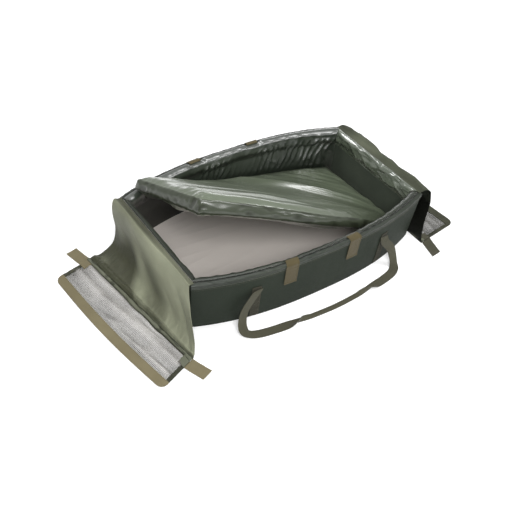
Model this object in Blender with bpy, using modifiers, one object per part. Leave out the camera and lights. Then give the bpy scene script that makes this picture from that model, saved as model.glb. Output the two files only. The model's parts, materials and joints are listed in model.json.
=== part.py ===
"""Unhooking mat: a padded cradle with two end flaps, two carrying handles and a loose pad.

Metres, +Z up. X runs along the mat, +Y points to its far side, and the origin is the
middle of the base on the ground. The left end is at -X and the right end at +X.
"""
import math

import bmesh
import bpy
from mathutils import Matrix, Vector

# Clearance between pieces that touch, and where one sheet turns on another
GAP = 0.0003
TURN_GAP = 0.0007

# Tub
TUB_LENGTH = 1.100
END_WIDTH = 0.536
MIDDLE_WIDTH = 0.711
WALL_HEIGHT = 0.238
WALL_LEAN = 0.013
BOW_EXPONENT = 2.546
SIDE_STEPS = 20

# Layers of a wall, from outside to inside
PANEL_THICKNESS = 0.0016
CORE_THICKNESS = 0.022
LINING_THICKNESS = 0.0016
PLEAT_DEPTH = 0.004
PLEATS = 10
# Each row: share of the height from the floor to the binding, and share of the pleat's depth
PLEAT_ROW_SHARES = (
    (0.00, 0.0),
    (0.35, 0.5),
    (0.75, 1.0),
    (1.00, 0.0),
)

# Base
BASE_CORE_THICKNESS = 0.010
FLOOR_THICKNESS = 0.0016

# Rim
BINDING_THICKNESS = 0.0018
BINDING_LEG = 0.016
RIM_RISE = 0.006
RIM_STEPS = 6
CUFF_THICKNESS = 0.0012
CUFF_DROP = 0.042

# Webbing on the walls
WEBBING_THICKNESS = 0.002
CATCH_TAB_WIDTH = 0.054
CATCH_TAB_BOTTOM = 0.125
CATCH_TAB_WRAP_STEPS = 4
LEFT_CATCH_TAB_X = -0.170
RIGHT_CATCH_TAB_X = 0.124
ANCHOR_BOTTOM = 0.004
ANCHOR_OVERHANG = 0.012

# Handles
HANDLE_WIDTH = 0.038
HANDLE_THICKNESS = 0.0025
HANDLE_ATTACH_X = 0.310
HANDLE_ATTACH_HEIGHT = 0.155
HANDLE_LEFT_WIDEST = 0.393
HANDLE_RIGHT_WIDEST = 0.363
HANDLE_REACH = 0.106
HANDLE_STEPS = 44
# The grip is folded double along its length, and opens out flat over the fade beside it
HANDLE_GRIP_HALF = 0.110
HANDLE_GRIP_FADE = 0.075
# Each station: share of the widest half, of the reach, of the attachment height, and how flat it lies
HANDLE_ROUTE_SHARES = (
    (0.870, 0.06, 0.83, 0.0),
    (0.957, 0.13, 0.58, 0.0),
    (0.997, 0.22, 0.30, 0.1),
    (1.000, 0.36, 0.09, 0.5),
    (0.972, 0.52, 0.014, 1.0),
    (0.905, 0.66, 0.00, 1.0),
    (0.800, 0.76, 0.00, 1.0),
    (0.650, 0.84, 0.00, 1.0),
    (0.450, 0.91, 0.00, 1.0),
    (0.220, 0.97, 0.00, 1.0),
    (0.000, 1.00, 0.00, 1.0),
)

# Flaps
FLAP_THICKNESS = 0.0012
FLAP_STEPS_DOWN = 14
FLAP_STEPS_ACROSS = 8
FLAP_FOLD_DEPTH = 0.006
FLAP_FOLDS = 1.5
ROOT_WIDTH = 0.556

# Left flap: where its seam lies on the ground, and its profiles from root to seam
LEFT_SEAM_FAR_REACH = 0.145
LEFT_SEAM_NEAR_REACH = 0.056
LEFT_SEAM_FAR_Y = 0.252
LEFT_SEAM_NEAR_Y = -0.405
# Each station beyond the rim: share of the reach, of the way sideways from root to seam, and of the hinge height
LEFT_FAR_PROFILE_SHARES = (
    (0.00, 0.0, 1.000),
    (0.13, 0.0, 1.018),
    (0.20, 0.1, 0.930),
    (0.20, 0.2, 0.740),
    (0.15, 0.3, 0.420),
    (0.26, 0.6, 0.140),
    (0.62, 0.9, 0.028),
    (1.00, 1.0, 0.000),
)
LEFT_NEAR_PROFILE_SHARES = (
    (0.00, 0.00, 1.000),
    (0.14, 0.02, 0.990),
    (0.28, 0.12, 0.860),
    (0.36, 0.25, 0.720),
    (0.42, 0.48, 0.480),
    (0.52, 0.75, 0.210),
    (0.75, 0.92, 0.060),
    (1.00, 1.00, 0.000),
)

# Right flap: it bulges out, folds back to the wall and turns out again at its seam
RIGHT_BULGE = 0.075
RIGHT_PUFF = 0.018
RIGHT_PUFF_LEAN_SHARE = 0.6
RIGHT_FOLD_HEIGHT = 0.160
RIGHT_SEAM_REACH = 0.0085
RIGHT_SEAM_FAR_Y = 0.310
RIGHT_SEAM_NEAR_Y = -0.345
RIGHT_FOLD_FAR_Y = 0.276
RIGHT_FOLD_NEAR_Y = -0.280
# Each station: share of the bulge, and share of the height from the fold up to the hinge
RIGHT_UPPER_PROFILE_SHARES = (
    (0.00, 1.000),
    (0.24, 1.020),
    (0.54, 0.880),
    (0.82, 0.520),
    (1.00, 0.000),
)
# Each station: share of the bulge left, and share of the fold height
RIGHT_LOWER_PROFILE_SHARES = (
    (1.00, 1.000),
    (0.98, 0.800),
    (0.72, 0.560),
    (0.34, 0.280),
    (0.06, 0.090),
    (0.00, 0.000),
)

# Net ends of the flaps
NET_THICKNESS = 0.0012
NET_GAPS_ALONG = 18
NET_GAPS_ACROSS = 4
NET_STRAND = 0.004
TAPE_WIDTH = 0.018
EDGE_WEBBING_WIDTH = 0.040
LEFT_EDGE_FAR_REACH = 0.3139
LEFT_EDGE_FAR_Y = 0.212
LEFT_EDGE_NEAR_REACH = 0.2209
LEFT_EDGE_NEAR_Y = -0.472
RIGHT_EDGE_FAR_REACH = 0.1709
RIGHT_EDGE_FAR_Y = 0.318
RIGHT_EDGE_NEAR_REACH = 0.2349
RIGHT_EDGE_NEAR_Y = -0.314

# Flap tabs
TAB_WIDTH = 0.052
TAB_LENGTH = 0.086
TAB_OFFSET = 0.002
TAB_PATCH_LENGTH = 0.034
LEFT_EDGE_BOW = 0.016
RIGHT_EDGE_BOW = 0.004
LEFT_TAB_SWEEP = 0.0
RIGHT_TAB_SWEEP = -0.034

# Loose pad
PAD_THICKNESS = 0.048
PAD_COVER_THICKNESS = 0.0012
PAD_CORE_CLEARANCE = 0.0009
PAD_ALONG_SHARES = (0.0, 0.025, 0.13, 0.26, 0.39, 0.52, 0.65, 0.78, 0.90, 0.975, 1.0)
PAD_ACROSS_SHARES = (0.0, 0.045, 0.35, 0.65, 0.955, 1.0)
PAD_SLOPE_SHARE = 0.05
PAD_CROWN_SHARE = 0.10
PAD_EDGE_SHARE = 0.88
PAD_SEAT_SHARE = 0.857
PAD_SAG = 0.014
# How far the pad's ends and sides stay inside the tub's base
PAD_RIGHT_MARGIN = 0.044
PAD_LEFT_MARGIN = 0.068
PAD_FAR_MARGIN = 0.0495
PAD_NEAR_MARGIN = 0.0915
PAD_NEAR_RISE = 0.377
PAD_FAR_RISE = 0.236
# Each station, right to left: share of the end, of the half width, and of the rise
PAD_NEAR_EDGE_SHARES = (
    (0.990, 0.890, 0.000),
    (0.720, 0.960, 0.215),
    (0.430, 1.000, 0.430),
    (0.110, 0.965, 0.625),
    (-0.220, 0.830, 0.795),
    (-0.540, 0.620, 0.920),
    (-0.860, 0.325, 0.990),
)
PAD_FAR_EDGE_SHARES = (
    (0.970, 0.790, 0.000),
    (0.660, 0.930, 0.035),
    (0.340, 0.995, 0.105),
    (0.020, 1.000, 0.225),
    (-0.300, 0.985, 0.405),
    (-0.650, 0.930, 0.680),
    (-0.985, 0.935, 1.000),
)

# Colours: red, green, blue, then roughness
FINISHES = {
    "shell_fabric": (0.043, 0.060, 0.048, 0.75),
    "wall_lining": (0.024, 0.031, 0.025, 0.70),
    "glossy_lining": (0.075, 0.105, 0.080, 0.28),
    "floor_fabric": (0.275, 0.238, 0.215, 0.85),
    "pad_cover": (0.100, 0.135, 0.090, 0.25),
    "foam": (0.550, 0.540, 0.500, 0.95),
    "flap_fabric": (0.220, 0.235, 0.155, 0.70),
    "net": (0.450, 0.440, 0.400, 0.80),
    "webbing": (0.250, 0.225, 0.125, 0.80),
    "handle_webbing": (0.105, 0.098, 0.070, 0.80),
    "binding_tape": (0.110, 0.115, 0.095, 0.75),
}

# Places worked out from the sizes above
WALL_THICKNESS = PANEL_THICKNESS + GAP + CORE_THICKNESS + GAP + LINING_THICKNESS
BASE_LEVEL = PANEL_THICKNESS + GAP
WALL_TOP = WALL_HEIGHT - RIM_RISE - GAP - BINDING_THICKNESS
FLOOR_LEVEL = BASE_LEVEL + BASE_CORE_THICKNESS + GAP
FLOOR_TOP = FLOOR_LEVEL + FLOOR_THICKNESS
BINDING_BOTTOM = WALL_TOP - BINDING_LEG
BINDING_OUTSIDE = GAP + BINDING_THICKNESS
HINGE_X = TUB_LENGTH / 2 + WALL_LEAN - WALL_THICKNESS / 2
HINGE_HEIGHT = WALL_HEIGHT + GAP + FLAP_THICKNESS / 2
RIM_EDGE_X = TUB_LENGTH / 2 + WALL_LEAN + BINDING_OUTSIDE
LYING = FLAP_THICKNESS / 2
PAD_RIGHT_END = TUB_LENGTH / 2 - PAD_RIGHT_MARGIN
PAD_LEFT_END = TUB_LENGTH / 2 - PAD_LEFT_MARGIN
PAD_FAR_HALF = MIDDLE_WIDTH / 2 - PAD_FAR_MARGIN
PAD_NEAR_HALF = MIDDLE_WIDTH / 2 - PAD_NEAR_MARGIN
WALLS = {"near": -1, "far": 1, "left": -1, "right": 1}


def clear_scene():
    """Remove what the scene holds."""
    for item in list(bpy.data.objects):
        bpy.data.objects.remove(item, do_unlink=True)


def make_collection(name):
    """Return a new collection linked to the scene."""
    collection = bpy.data.collections.new(name)
    bpy.context.scene.collection.children.link(collection)
    return collection


def make_material(name):
    """Return a Principled material with the finish's colour and roughness."""
    red, green, blue, roughness = FINISHES[name]
    material = bpy.data.materials.new(name)
    material.use_nodes = True
    shader = material.node_tree.nodes["Principled BSDF"]
    shader.inputs["Base Color"].default_value = (red, green, blue, 1.0)
    shader.inputs["Roughness"].default_value = roughness
    shader.inputs["Metallic"].default_value = 0.0
    return material


def mix(start, end, share):
    """Return the value or point at a share of the way from start to end."""
    return start + (end - start) * share


def on_route(points, share):
    """Return the point at a share of a smooth curve through points."""
    spans = len(points) - 1
    position = min(max(share, 0.0), 1.0) * spans
    index = min(int(position), spans - 1)
    local = position - index
    first = points[index]
    second = points[index + 1]
    before = points[max(index - 1, 0)]
    after = points[min(index + 2, spans)]
    leaving = (second - before) / 2
    arriving = (after - first) / 2
    square = local * local
    cube = square * local
    return (
        first * (2 * cube - 3 * square + 1)
        + leaving * (cube - 2 * square + local)
        + second * (3 * square - 2 * cube)
        + arriving * (cube - square)
    )


def even_shares(count):
    """Return count equal steps from 0 to 1."""
    return [step / count for step in range(count + 1)]


class Workshop:
    """Holds the collection and materials, and turns meshes into named parts."""

    def __init__(self):
        self.collection = make_collection("unhooking_mat")
        self.materials = {name: make_material(name) for name in FINISHES}

    def axis(self, name, place, parent=None):
        """Add an empty on a joint's axis."""
        empty = bpy.data.objects.new(name, None)
        self.collection.objects.link(empty)
        empty["place"] = tuple(place)
        empty.parent = parent
        origin = Vector(parent["place"]) if parent else Vector()
        empty.location = Vector(place) - origin
        return empty

    def add(self, name, mesh_data, finish, carrier=None):
        """Turn a bmesh in world places into a part that its carrier holds."""
        mesh = bpy.data.meshes.new(name)
        mesh_data.to_mesh(mesh)
        mesh_data.free()
        mesh.materials.append(self.materials[finish])
        part = bpy.data.objects.new(name, mesh)
        self.collection.objects.link(part)
        if carrier:
            mesh.transform(Matrix.Translation(-Vector(carrier["place"])))
            part.parent = carrier
        return part

    def block(self, name, cuts, place, finish, carrier=None):
        """Add a cube that is cut at the shares of each axis and shaped by place(u, v, w)."""
        solid = bmesh.new()
        bmesh.ops.create_cube(solid, size=1, matrix=Matrix.Translation((0.5, 0.5, 0.5)))
        for axis, shares in enumerate(cuts):
            normal = Vector((0, 0, 0))
            normal[axis] = 1
            for share in shares[1:-1]:
                everything = solid.verts[:] + solid.edges[:] + solid.faces[:]
                bmesh.ops.bisect_plane(solid, geom=everything, plane_co=normal * share, plane_no=normal)
        for vertex in solid.verts:
            vertex.co = place(*vertex.co)
        solid.normal_update()
        bmesh.ops.recalc_face_normals(solid, faces=solid.faces)
        if solid.calc_volume(signed=True) < 0:
            bmesh.ops.reverse_faces(solid, faces=solid.faces)
        return self.add(name, solid, finish, carrier)

    def sheet(self, name, steps, surface, thickness, finish, carrier=None, strand=None):
        """Add a sheet on surface(u, v), thickened evenly to both sides, as a net if it has a strand."""
        across, down = steps
        flat = bmesh.new()
        bmesh.ops.create_grid(flat, x_segments=across, y_segments=down, size=0.5)
        for vertex in flat.verts:
            vertex.co += Vector((0.5, 0.5, 0))
        if strand:
            rings = bmesh.ops.inset_individual(flat, faces=flat.faces[:], thickness=strand, use_even_offset=True)
            kept = set(rings["faces"])
            bmesh.ops.delete(flat, geom=[face for face in flat.faces if face not in kept], context="FACES")
        for vertex in flat.verts:
            vertex.co = surface(vertex.co.x, vertex.co.y)
        part = self.add(name, flat, finish, carrier)
        solidify = part.modifiers.new("thickness", "SOLIDIFY")
        solidify.thickness = thickness
        solidify.offset = 0
        solidify.use_even_offset = False
        return part


# Walls and base
def bowed_half_width(along):
    """Return the base's half width where along runs from -1 to 1."""
    bow = (MIDDLE_WIDTH - END_WIDTH) / 2
    return END_WIDTH / 2 + bow * (1 - abs(along) ** BOW_EXPONENT)


def half_width(along):
    """Return the half width on the straight runs between the side's knots."""
    position = min(max((along + 1) / 2, 0.0), 1.0) * SIDE_STEPS
    index = min(int(position + GAP), SIDE_STEPS - 1)
    low = bowed_half_width(2 * index / SIDE_STEPS - 1)
    high = bowed_half_width(2 * (index + 1) / SIDE_STEPS - 1)
    return mix(low, high, position - index)


def wall_point(wall, along, height, inset):
    """Return a place on a wall, inset from its outer face, where along runs from -1 to 1."""
    spread = WALL_LEAN * height / WALL_HEIGHT - inset
    length = TUB_LENGTH / 2 + spread
    if wall in ("near", "far"):
        return Vector((along * length, WALLS[wall] * (half_width(along) + spread), height))
    return Vector((WALLS[wall] * length, along * (END_WIDTH / 2 + spread), height))


def wall_reach(wall):
    """Return how far along the wall a piece runs, short of the mitre at the corner."""
    length = TUB_LENGTH if wall in ("near", "far") else END_WIDTH
    return 1 - 2 * GAP / length


def wall_shares(wall):
    """Return the shares where a wall's pieces are cut along their length."""
    return even_shares(SIDE_STEPS) if wall in ("near", "far") else even_shares(1)


def knot_shares(low, high):
    """Return the shares from low to high along a side wall, with each knot between them."""
    knots = [2 * step / SIDE_STEPS - 1 for step in range(SIDE_STEPS + 1)]
    inside = [(knot - low) / (high - low) for knot in knots if low < knot < high]
    return [0.0] + inside + [1.0]


def add_wall_layer(shop, wall, layer, outer, inner, top, finish):
    """Add one flat layer of a wall, from the base up to top."""
    reach = wall_reach(wall)

    def place(u, v, w):
        return wall_point(wall, mix(-reach, reach, u), mix(BASE_LEVEL, top, w), mix(outer, inner, v))

    shop.block(f"{wall}_{layer}", (wall_shares(wall), [0, 1], [0, 1]), place, finish)


def add_lining(shop, wall, outer, inner, finish):
    """Add a wall's lining, gathered in upright pleats on the long walls."""
    reach = wall_reach(wall)
    pleated = wall in ("near", "far")
    low = FLOOR_TOP + GAP
    high = BINDING_BOTTOM - GAP
    rows = [(mix(low, high, height_share), depth_share) for height_share, depth_share in PLEAT_ROW_SHARES]
    rows = [(BASE_LEVEL, 0.0)] + rows + [(WALL_TOP, 0.0)]

    def place(u, v, w):
        height, depth_share = rows[round(w * (len(rows) - 1))]
        gather = (1 - math.cos(2 * math.pi * PLEATS * u)) / 2 if pleated else 0.0
        inset = mix(outer, inner, v) + v * PLEAT_DEPTH * gather * depth_share
        return wall_point(wall, mix(-reach, reach, u), height, inset)

    along = even_shares(2 * SIDE_STEPS) if pleated else even_shares(1)
    shop.block(f"{wall}_lining", (along, [0, 1], even_shares(len(rows) - 1)), place, finish)


def over_rim(offset, station, bottom, steps):
    """Return inset and height at a station of a path that climbs the wall and bends over its rim."""
    if station == 0:
        return -offset, bottom
    if station == steps + 2:
        return WALL_THICKNESS + offset, bottom
    angle = math.pi * (station - 1) / RIM_STEPS
    inset = WALL_THICKNESS / 2 - math.cos(angle) * (WALL_THICKNESS / 2 + offset)
    return inset, WALL_TOP + math.sin(angle) * (RIM_RISE + offset)


def add_binding(shop, wall, finish):
    """Add the binding that caps a wall."""
    reach = wall_reach(wall)
    stations = RIM_STEPS + 2

    def place(u, v, w):
        offset = GAP + BINDING_THICKNESS * v
        inset, height = over_rim(offset, round(w * stations), BINDING_BOTTOM, RIM_STEPS)
        return wall_point(wall, mix(-reach, reach, u), height, inset)

    shop.block(f"{wall}_rim_binding", (wall_shares(wall), [0, 1], even_shares(stations)), place, finish)


def add_cuff(shop, wall):
    """Add the glossy cuff that hangs inside an end wall below its binding."""
    reach = wall_reach(wall)
    top = BINDING_BOTTOM - GAP
    outer = WALL_THICKNESS + GAP

    def place(u, v, w):
        inset = outer + CUFF_THICKNESS * v
        return wall_point(wall, mix(-reach, reach, u), mix(top - CUFF_DROP, top, w), inset)

    shop.block(f"{wall}_cuff", ([0, 1], [0, 1], [0, 1]), place, "glossy_lining")


def add_base(shop):
    """Add the bottom panel, the foam under the floor and the floor."""
    layers = (
        ("bottom_panel", 0.0, 0.0, PANEL_THICKNESS, "shell_fabric"),
        ("base_core", WALL_THICKNESS + GAP, BASE_LEVEL, BASE_CORE_THICKNESS, "foam"),
        ("floor_panel", WALL_THICKNESS + GAP, FLOOR_LEVEL, FLOOR_THICKNESS, "floor_fabric"),
    )
    for name, inset, level, thickness, finish in layers:

        def place(u, v, w):
            height = level + thickness * w
            near = wall_point("near", mix(-1, 1, u), height, inset)
            far = wall_point("far", mix(-1, 1, u), height, inset)
            return mix(near, far, v)

        shop.block(name, (even_shares(SIDE_STEPS), [0, 1], [0, 1]), place, finish)


def add_tub(shop):
    """Add the base, the four walls with their layers, the rim and the cuffs."""
    add_base(shop)
    core_outer = PANEL_THICKNESS + GAP
    core_inner = core_outer + CORE_THICKNESS
    for wall in WALLS:
        long_wall = wall in ("near", "far")
        add_wall_layer(shop, wall, "outer_panel", 0.0, PANEL_THICKNESS, WALL_TOP, "shell_fabric")
        add_wall_layer(shop, wall, "wall_core", core_outer, core_inner, WALL_TOP, "foam")
        add_lining(shop, wall, core_inner + GAP, WALL_THICKNESS, "glossy_lining" if long_wall else "wall_lining")
        add_binding(shop, wall, "shell_fabric" if long_wall else "flap_fabric")
    for wall in ("left", "right"):
        add_cuff(shop, wall)


# Webbing sewn to the walls
def strip_shares(centre, width):
    """Return the ends of a strip on a long wall, as shares of its half length, and its cuts."""
    low = (centre - width / 2) / (TUB_LENGTH / 2)
    high = (centre + width / 2) / (TUB_LENGTH / 2)
    return low, high, knot_shares(low, high)


def add_catch_tab(shop, wall, end, centre):
    """Add a webbing tab that hangs over the rim of a long wall."""
    low, high, cuts = strip_shares(centre, CATCH_TAB_WIDTH)

    def place(u, v, w):
        offset = BINDING_OUTSIDE + GAP + WEBBING_THICKNESS * v
        station = round(w * (CATCH_TAB_WRAP_STEPS + 1))
        inset, height = over_rim(offset, station, CATCH_TAB_BOTTOM, RIM_STEPS)
        return wall_point(wall, mix(low, high, u), height, inset)

    shares = even_shares(CATCH_TAB_WRAP_STEPS + 1)
    shop.block(f"{wall}_{end}_catch_tab", (cuts, [0, 1], shares), place, "webbing")


def add_handle_anchor(shop, wall, end):
    """Add the strip of handle webbing that runs down a long wall under the handle's end."""
    low, high, cuts = strip_shares(WALLS[end] * HANDLE_ATTACH_X, HANDLE_WIDTH)

    def place(u, v, w):
        height = mix(ANCHOR_BOTTOM, HANDLE_ATTACH_HEIGHT + ANCHOR_OVERHANG, w)
        return wall_point(wall, mix(low, high, u), height, -(GAP + WEBBING_THICKNESS * v))

    shop.block(f"{wall}_{end}_handle_anchor", (cuts, [0, 1], [0, 1]), place, "handle_webbing")


def handle_start(wall):
    """Return how far out the handle's ends are held, clear of the anchors."""
    inboard = (HANDLE_ATTACH_X - HANDLE_WIDTH / 2) / (TUB_LENGTH / 2)
    out = GAP + WEBBING_THICKNESS + GAP + HANDLE_THICKNESS / 2
    return wall_point(wall, inboard, HANDLE_ATTACH_HEIGHT, -out).y


def handle_half(end, widest, start_y, side):
    """Return the stations of half a handle, each a place and how flat it lies, from its sewn end."""
    stations = [(Vector((end * HANDLE_ATTACH_X, start_y, HANDLE_ATTACH_HEIGHT)), 0.0)]
    for width_share, reach_share, height_share, flat_share in HANDLE_ROUTE_SHARES:
        height = mix(HANDLE_THICKNESS / 2, HANDLE_ATTACH_HEIGHT, height_share)
        place = Vector((end * widest * width_share, start_y + side * HANDLE_REACH * reach_share, height))
        stations.append((place, flat_share))
    return stations


def grip_share(place):
    """Return how far the webbing is folded double, from 1 in the grip to 0 at the sides."""
    if place.z > HANDLE_WIDTH:
        return 0.0
    return min(max(1 - (abs(place.x) - HANDLE_GRIP_HALF) / HANDLE_GRIP_FADE, 0.0), 1.0)


def add_handle(shop, wall):
    """Add a carrying handle, a loop of webbing that lies on the ground beside its wall."""
    side = WALLS[wall]
    start_y = handle_start(wall)
    outward = Vector((0, side, 0))
    up = Vector((0, 0, 1))
    left = handle_half(-1, HANDLE_LEFT_WIDEST, start_y, side)
    right = handle_half(1, HANDLE_RIGHT_WIDEST, start_y, side)
    stations = left + right[-2::-1]
    places = [place for place, flat in stations]
    facings = [mix(outward, up, flat) for place, flat in stations]
    step = 1 / HANDLE_STEPS
    square_end = 1 / (len(stations) - 1)
    first_side = Vector((1, 0, 0))

    def strap(u, v, w):
        place = on_route(places, v)
        heading = on_route(places, v + step / 2) - on_route(places, v - step / 2)
        facing = on_route(facings, v)
        sideways = heading.cross(facing).normalized()
        squareness = max(0.0, 1 - min(v, 1 - v) / square_end)
        towards = first_side if sideways.dot(first_side) > 0 else -first_side
        sideways = mix(sideways, towards, squareness).normalized()
        above = sideways.cross(heading).normalized()
        if above.dot(facing) < 0:
            above = -above
        folded = grip_share(place)
        width = mix(HANDLE_WIDTH, HANDLE_WIDTH / 2, folded)
        rise = mix(HANDLE_THICKNESS, 2 * HANDLE_THICKNESS + GAP, folded) * w - HANDLE_THICKNESS / 2
        return place + sideways * width * (u - 1 / 2) + above * rise

    axis = shop.axis(f"{wall}_handle_axis", (0, start_y, HANDLE_ATTACH_HEIGHT))
    cuts = ([0, 1], even_shares(HANDLE_STEPS), [0, 1])
    shop.block(f"{wall}_handle", cuts, strap, "handle_webbing", axis)


def add_wall_webbing(shop):
    """Add the catch tabs, the handle anchors and the handles of both long walls."""
    for wall in ("near", "far"):
        add_catch_tab(shop, wall, "left", LEFT_CATCH_TAB_X)
        add_catch_tab(shop, wall, "right", RIGHT_CATCH_TAB_X)
        add_handle_anchor(shop, wall, "left")
        add_handle_anchor(shop, wall, "right")
        add_handle(shop, wall)


# Flaps
def add_flap_fabric(shop, name, far_route, near_route, carrier, puff=0.0):
    """Add a fabric panel between its far and its near edge, with soft folds and a puffed-out middle."""

    def surface(u, v):
        far = on_route(far_route, v)
        near = on_route(near_route, v)
        fade = math.sin(math.pi * v) ** 2
        fold = FLAP_FOLD_DEPTH * fade * math.sin(2 * math.pi * FLAP_FOLDS * u)
        fullness = puff * fade * math.sin(math.pi * min(max(u, 0.0), 1.0) ** RIGHT_PUFF_LEAN_SHARE)
        return mix(far, near, u) + Vector((fold + fullness, 0, 0))

    steps = (FLAP_STEPS_ACROSS, FLAP_STEPS_DOWN)
    shop.sheet(name, steps, surface, FLAP_THICKNESS, "flap_fabric", carrier)


def left_profile(shares, reach, root_y, seam_y):
    """Return the places down one edge of the left flap."""
    places = [Vector((-HINGE_X, root_y, HINGE_HEIGHT))]
    for out_share, side_share, height_share in shares:
        x = -(RIM_EDGE_X + (reach - LYING - GAP) * out_share)
        places.append(Vector((x, mix(root_y, seam_y, side_share), mix(LYING, HINGE_HEIGHT, height_share))))
    return places


def upper_profile(root_y, fold_y):
    """Return the places down one edge of the right flap's upper part, from its hinge to its fold."""
    places = [Vector((HINGE_X, root_y, HINGE_HEIGHT))]
    for out_share, height_share in RIGHT_UPPER_PROFILE_SHARES:
        x = RIM_EDGE_X + RIGHT_BULGE * out_share
        z = mix(RIGHT_FOLD_HEIGHT + LYING + GAP, HINGE_HEIGHT, height_share)
        places.append(Vector((x, mix(root_y, fold_y, 1 - height_share), z)))
    return places


def lower_profile(fold_y, seam_y):
    """Return the places down one edge of the right flap's lower part, from its fold to its seam."""
    places = []
    for out_share, height_share in RIGHT_LOWER_PROFILE_SHARES:
        x = RIM_EDGE_X + mix(RIGHT_SEAM_REACH - LYING - TURN_GAP, RIGHT_BULGE, out_share)
        z = mix(LYING, RIGHT_FOLD_HEIGHT, height_share)
        places.append(Vector((x, mix(fold_y, seam_y, (1 - height_share) ** 2), z)))
    return places


class FlapEnd:
    """The net end of a flap, which lies on the ground between the seam and the free edge."""

    def __init__(self, shop, side, corners, bow, sweep, carrier):
        """Take the corners in the order seam far, seam near, edge near, edge far."""
        self.bow = bow
        self.shop = shop
        self.side = side
        self.seam_far, self.seam_near, self.edge_near, self.edge_far = corners
        self.sweep = sweep
        self.carrier = carrier
        self.length = (self.seam_near - self.seam_far).length
        self.depth = (self.edge_near - self.seam_near).length

    def place(self, along, out, height):
        """Return the place at shares along the seam and out to the edge."""
        seam = mix(self.seam_far, self.seam_near, along)
        edge = mix(self.edge_far, self.edge_near, along)
        bowed = 1 + self.bow / self.depth * math.sin(math.pi * min(max(along, 0.0), 1.0))
        return mix(seam, edge, out * bowed) + Vector((0, 0, height))

    def strip(self, name, along, out, finish, level=0.0, steps=1):
        """Add a flat strip between two shares along and two shares out."""

        def shape(u, v, w):
            return self.place(mix(*along, u), mix(*out, v), level + FLAP_THICKNESS * w)

        cuts = (even_shares(steps), [0, 1], [0, 1])
        self.shop.block(f"{self.side}_{name}", cuts, shape, finish, self.carrier)

    def add_pieces(self):
        """Add the seam tape, the net, its side tapes, the edge webbing and the tabs."""
        tape_out = TAPE_WIDTH / self.depth
        tape_along = TAPE_WIDTH / self.length
        gap_out = GAP / self.depth
        gap_along = GAP / self.length
        webbing_from = 1 - EDGE_WEBBING_WIDTH / self.depth
        net_out = (tape_out + gap_out, webbing_from - gap_out)
        net_along = (tape_along + gap_along, 1 - tape_along - gap_along)
        self.strip("seam_tape", (0, 1), (0, tape_out), "flap_fabric", 0.0, NET_GAPS_ALONG)
        self.strip("edge_webbing", (0, 1), (webbing_from, 1), "webbing", 0.0, NET_GAPS_ALONG)
        self.strip("far_tape", (0, tape_along), net_out, "binding_tape")
        self.strip("near_tape", (1 - tape_along, 1), net_out, "binding_tape")

        def surface(u, v):
            return self.place(mix(*net_along, u), mix(*net_out, v), NET_THICKNESS / 2)

        steps = (NET_GAPS_ALONG, NET_GAPS_ACROSS)
        pitch = self.length / NET_GAPS_ALONG
        strand = NET_STRAND / 2 / pitch / NET_GAPS_ALONG
        self.shop.sheet(f"{self.side}_net", steps, surface, NET_THICKNESS, "net", self.carrier, strand)
        self.add_tab("far", 0)
        self.add_tab("near", 1)

    def add_tab(self, end, along):
        """Add a tab's sewn patch on the net and its free length on the ground beside it."""
        out = (TAB_OFFSET / self.depth, (TAB_OFFSET + TAB_WIDTH) / self.depth)
        patch_share = TAB_PATCH_LENGTH / self.length
        level = FLAP_THICKNESS + GAP
        patch = (along, mix(along, 1 - along, patch_share))
        self.strip(f"{end}_tab_patch", patch, out, "webbing", level)
        first = self.place(along, out[0], 0)
        last = self.place(along, out[1], 0)
        edge = (last - first).normalized()
        outward = edge.cross(Vector((0, 0, 1)))
        if outward.dot(self.place(along, out[0], 0) - self.place(1 - along, out[0], 0)) < 0:
            outward = -outward
        start = outward * TURN_GAP
        tip = outward * TAB_LENGTH + edge * self.sweep
        hinge = mix(first, last, 1 / 2) + start + Vector((0, 0, LYING))
        axis = self.shop.axis(f"{self.side}_{end}_tab_axis", hinge, self.carrier)

        def shape(u, v, w):
            return mix(first, last, u) + start + tip * v + Vector((0, 0, FLAP_THICKNESS * w))

        self.shop.block(f"{self.side}_{end}_tab", ([0, 1], [0, 1], [0, 1]), shape, "webbing", axis)


def add_left_flap(shop):
    """Add the left flap, which hangs down the end wall and turns out along the ground."""
    root = shop.axis("left_flap_axis", (-HINGE_X, 0, HINGE_HEIGHT))
    half = ROOT_WIDTH / 2
    far = left_profile(LEFT_FAR_PROFILE_SHARES, LEFT_SEAM_FAR_REACH, half, LEFT_SEAM_FAR_Y)
    near = left_profile(LEFT_NEAR_PROFILE_SHARES, LEFT_SEAM_NEAR_REACH, -half, LEFT_SEAM_NEAR_Y)
    add_flap_fabric(shop, "left_flap_fabric", far, near, root)
    seam_far = Vector((-(RIM_EDGE_X + LEFT_SEAM_FAR_REACH), LEFT_SEAM_FAR_Y, 0))
    seam_near = Vector((-(RIM_EDGE_X + LEFT_SEAM_NEAR_REACH), LEFT_SEAM_NEAR_Y, 0))
    edge_near = Vector((-(RIM_EDGE_X + LEFT_EDGE_NEAR_REACH), LEFT_EDGE_NEAR_Y, 0))
    edge_far = Vector((-(RIM_EDGE_X + LEFT_EDGE_FAR_REACH), LEFT_EDGE_FAR_Y, 0))
    seam = mix(seam_far, seam_near, 1 / 2) + Vector((0, 0, LYING))
    axis = shop.axis("left_seam_axis", seam, root)
    corners = (seam_far, seam_near, edge_near, edge_far)
    FlapEnd(shop, "left", corners, LEFT_EDGE_BOW, LEFT_TAB_SWEEP, axis).add_pieces()


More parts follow.
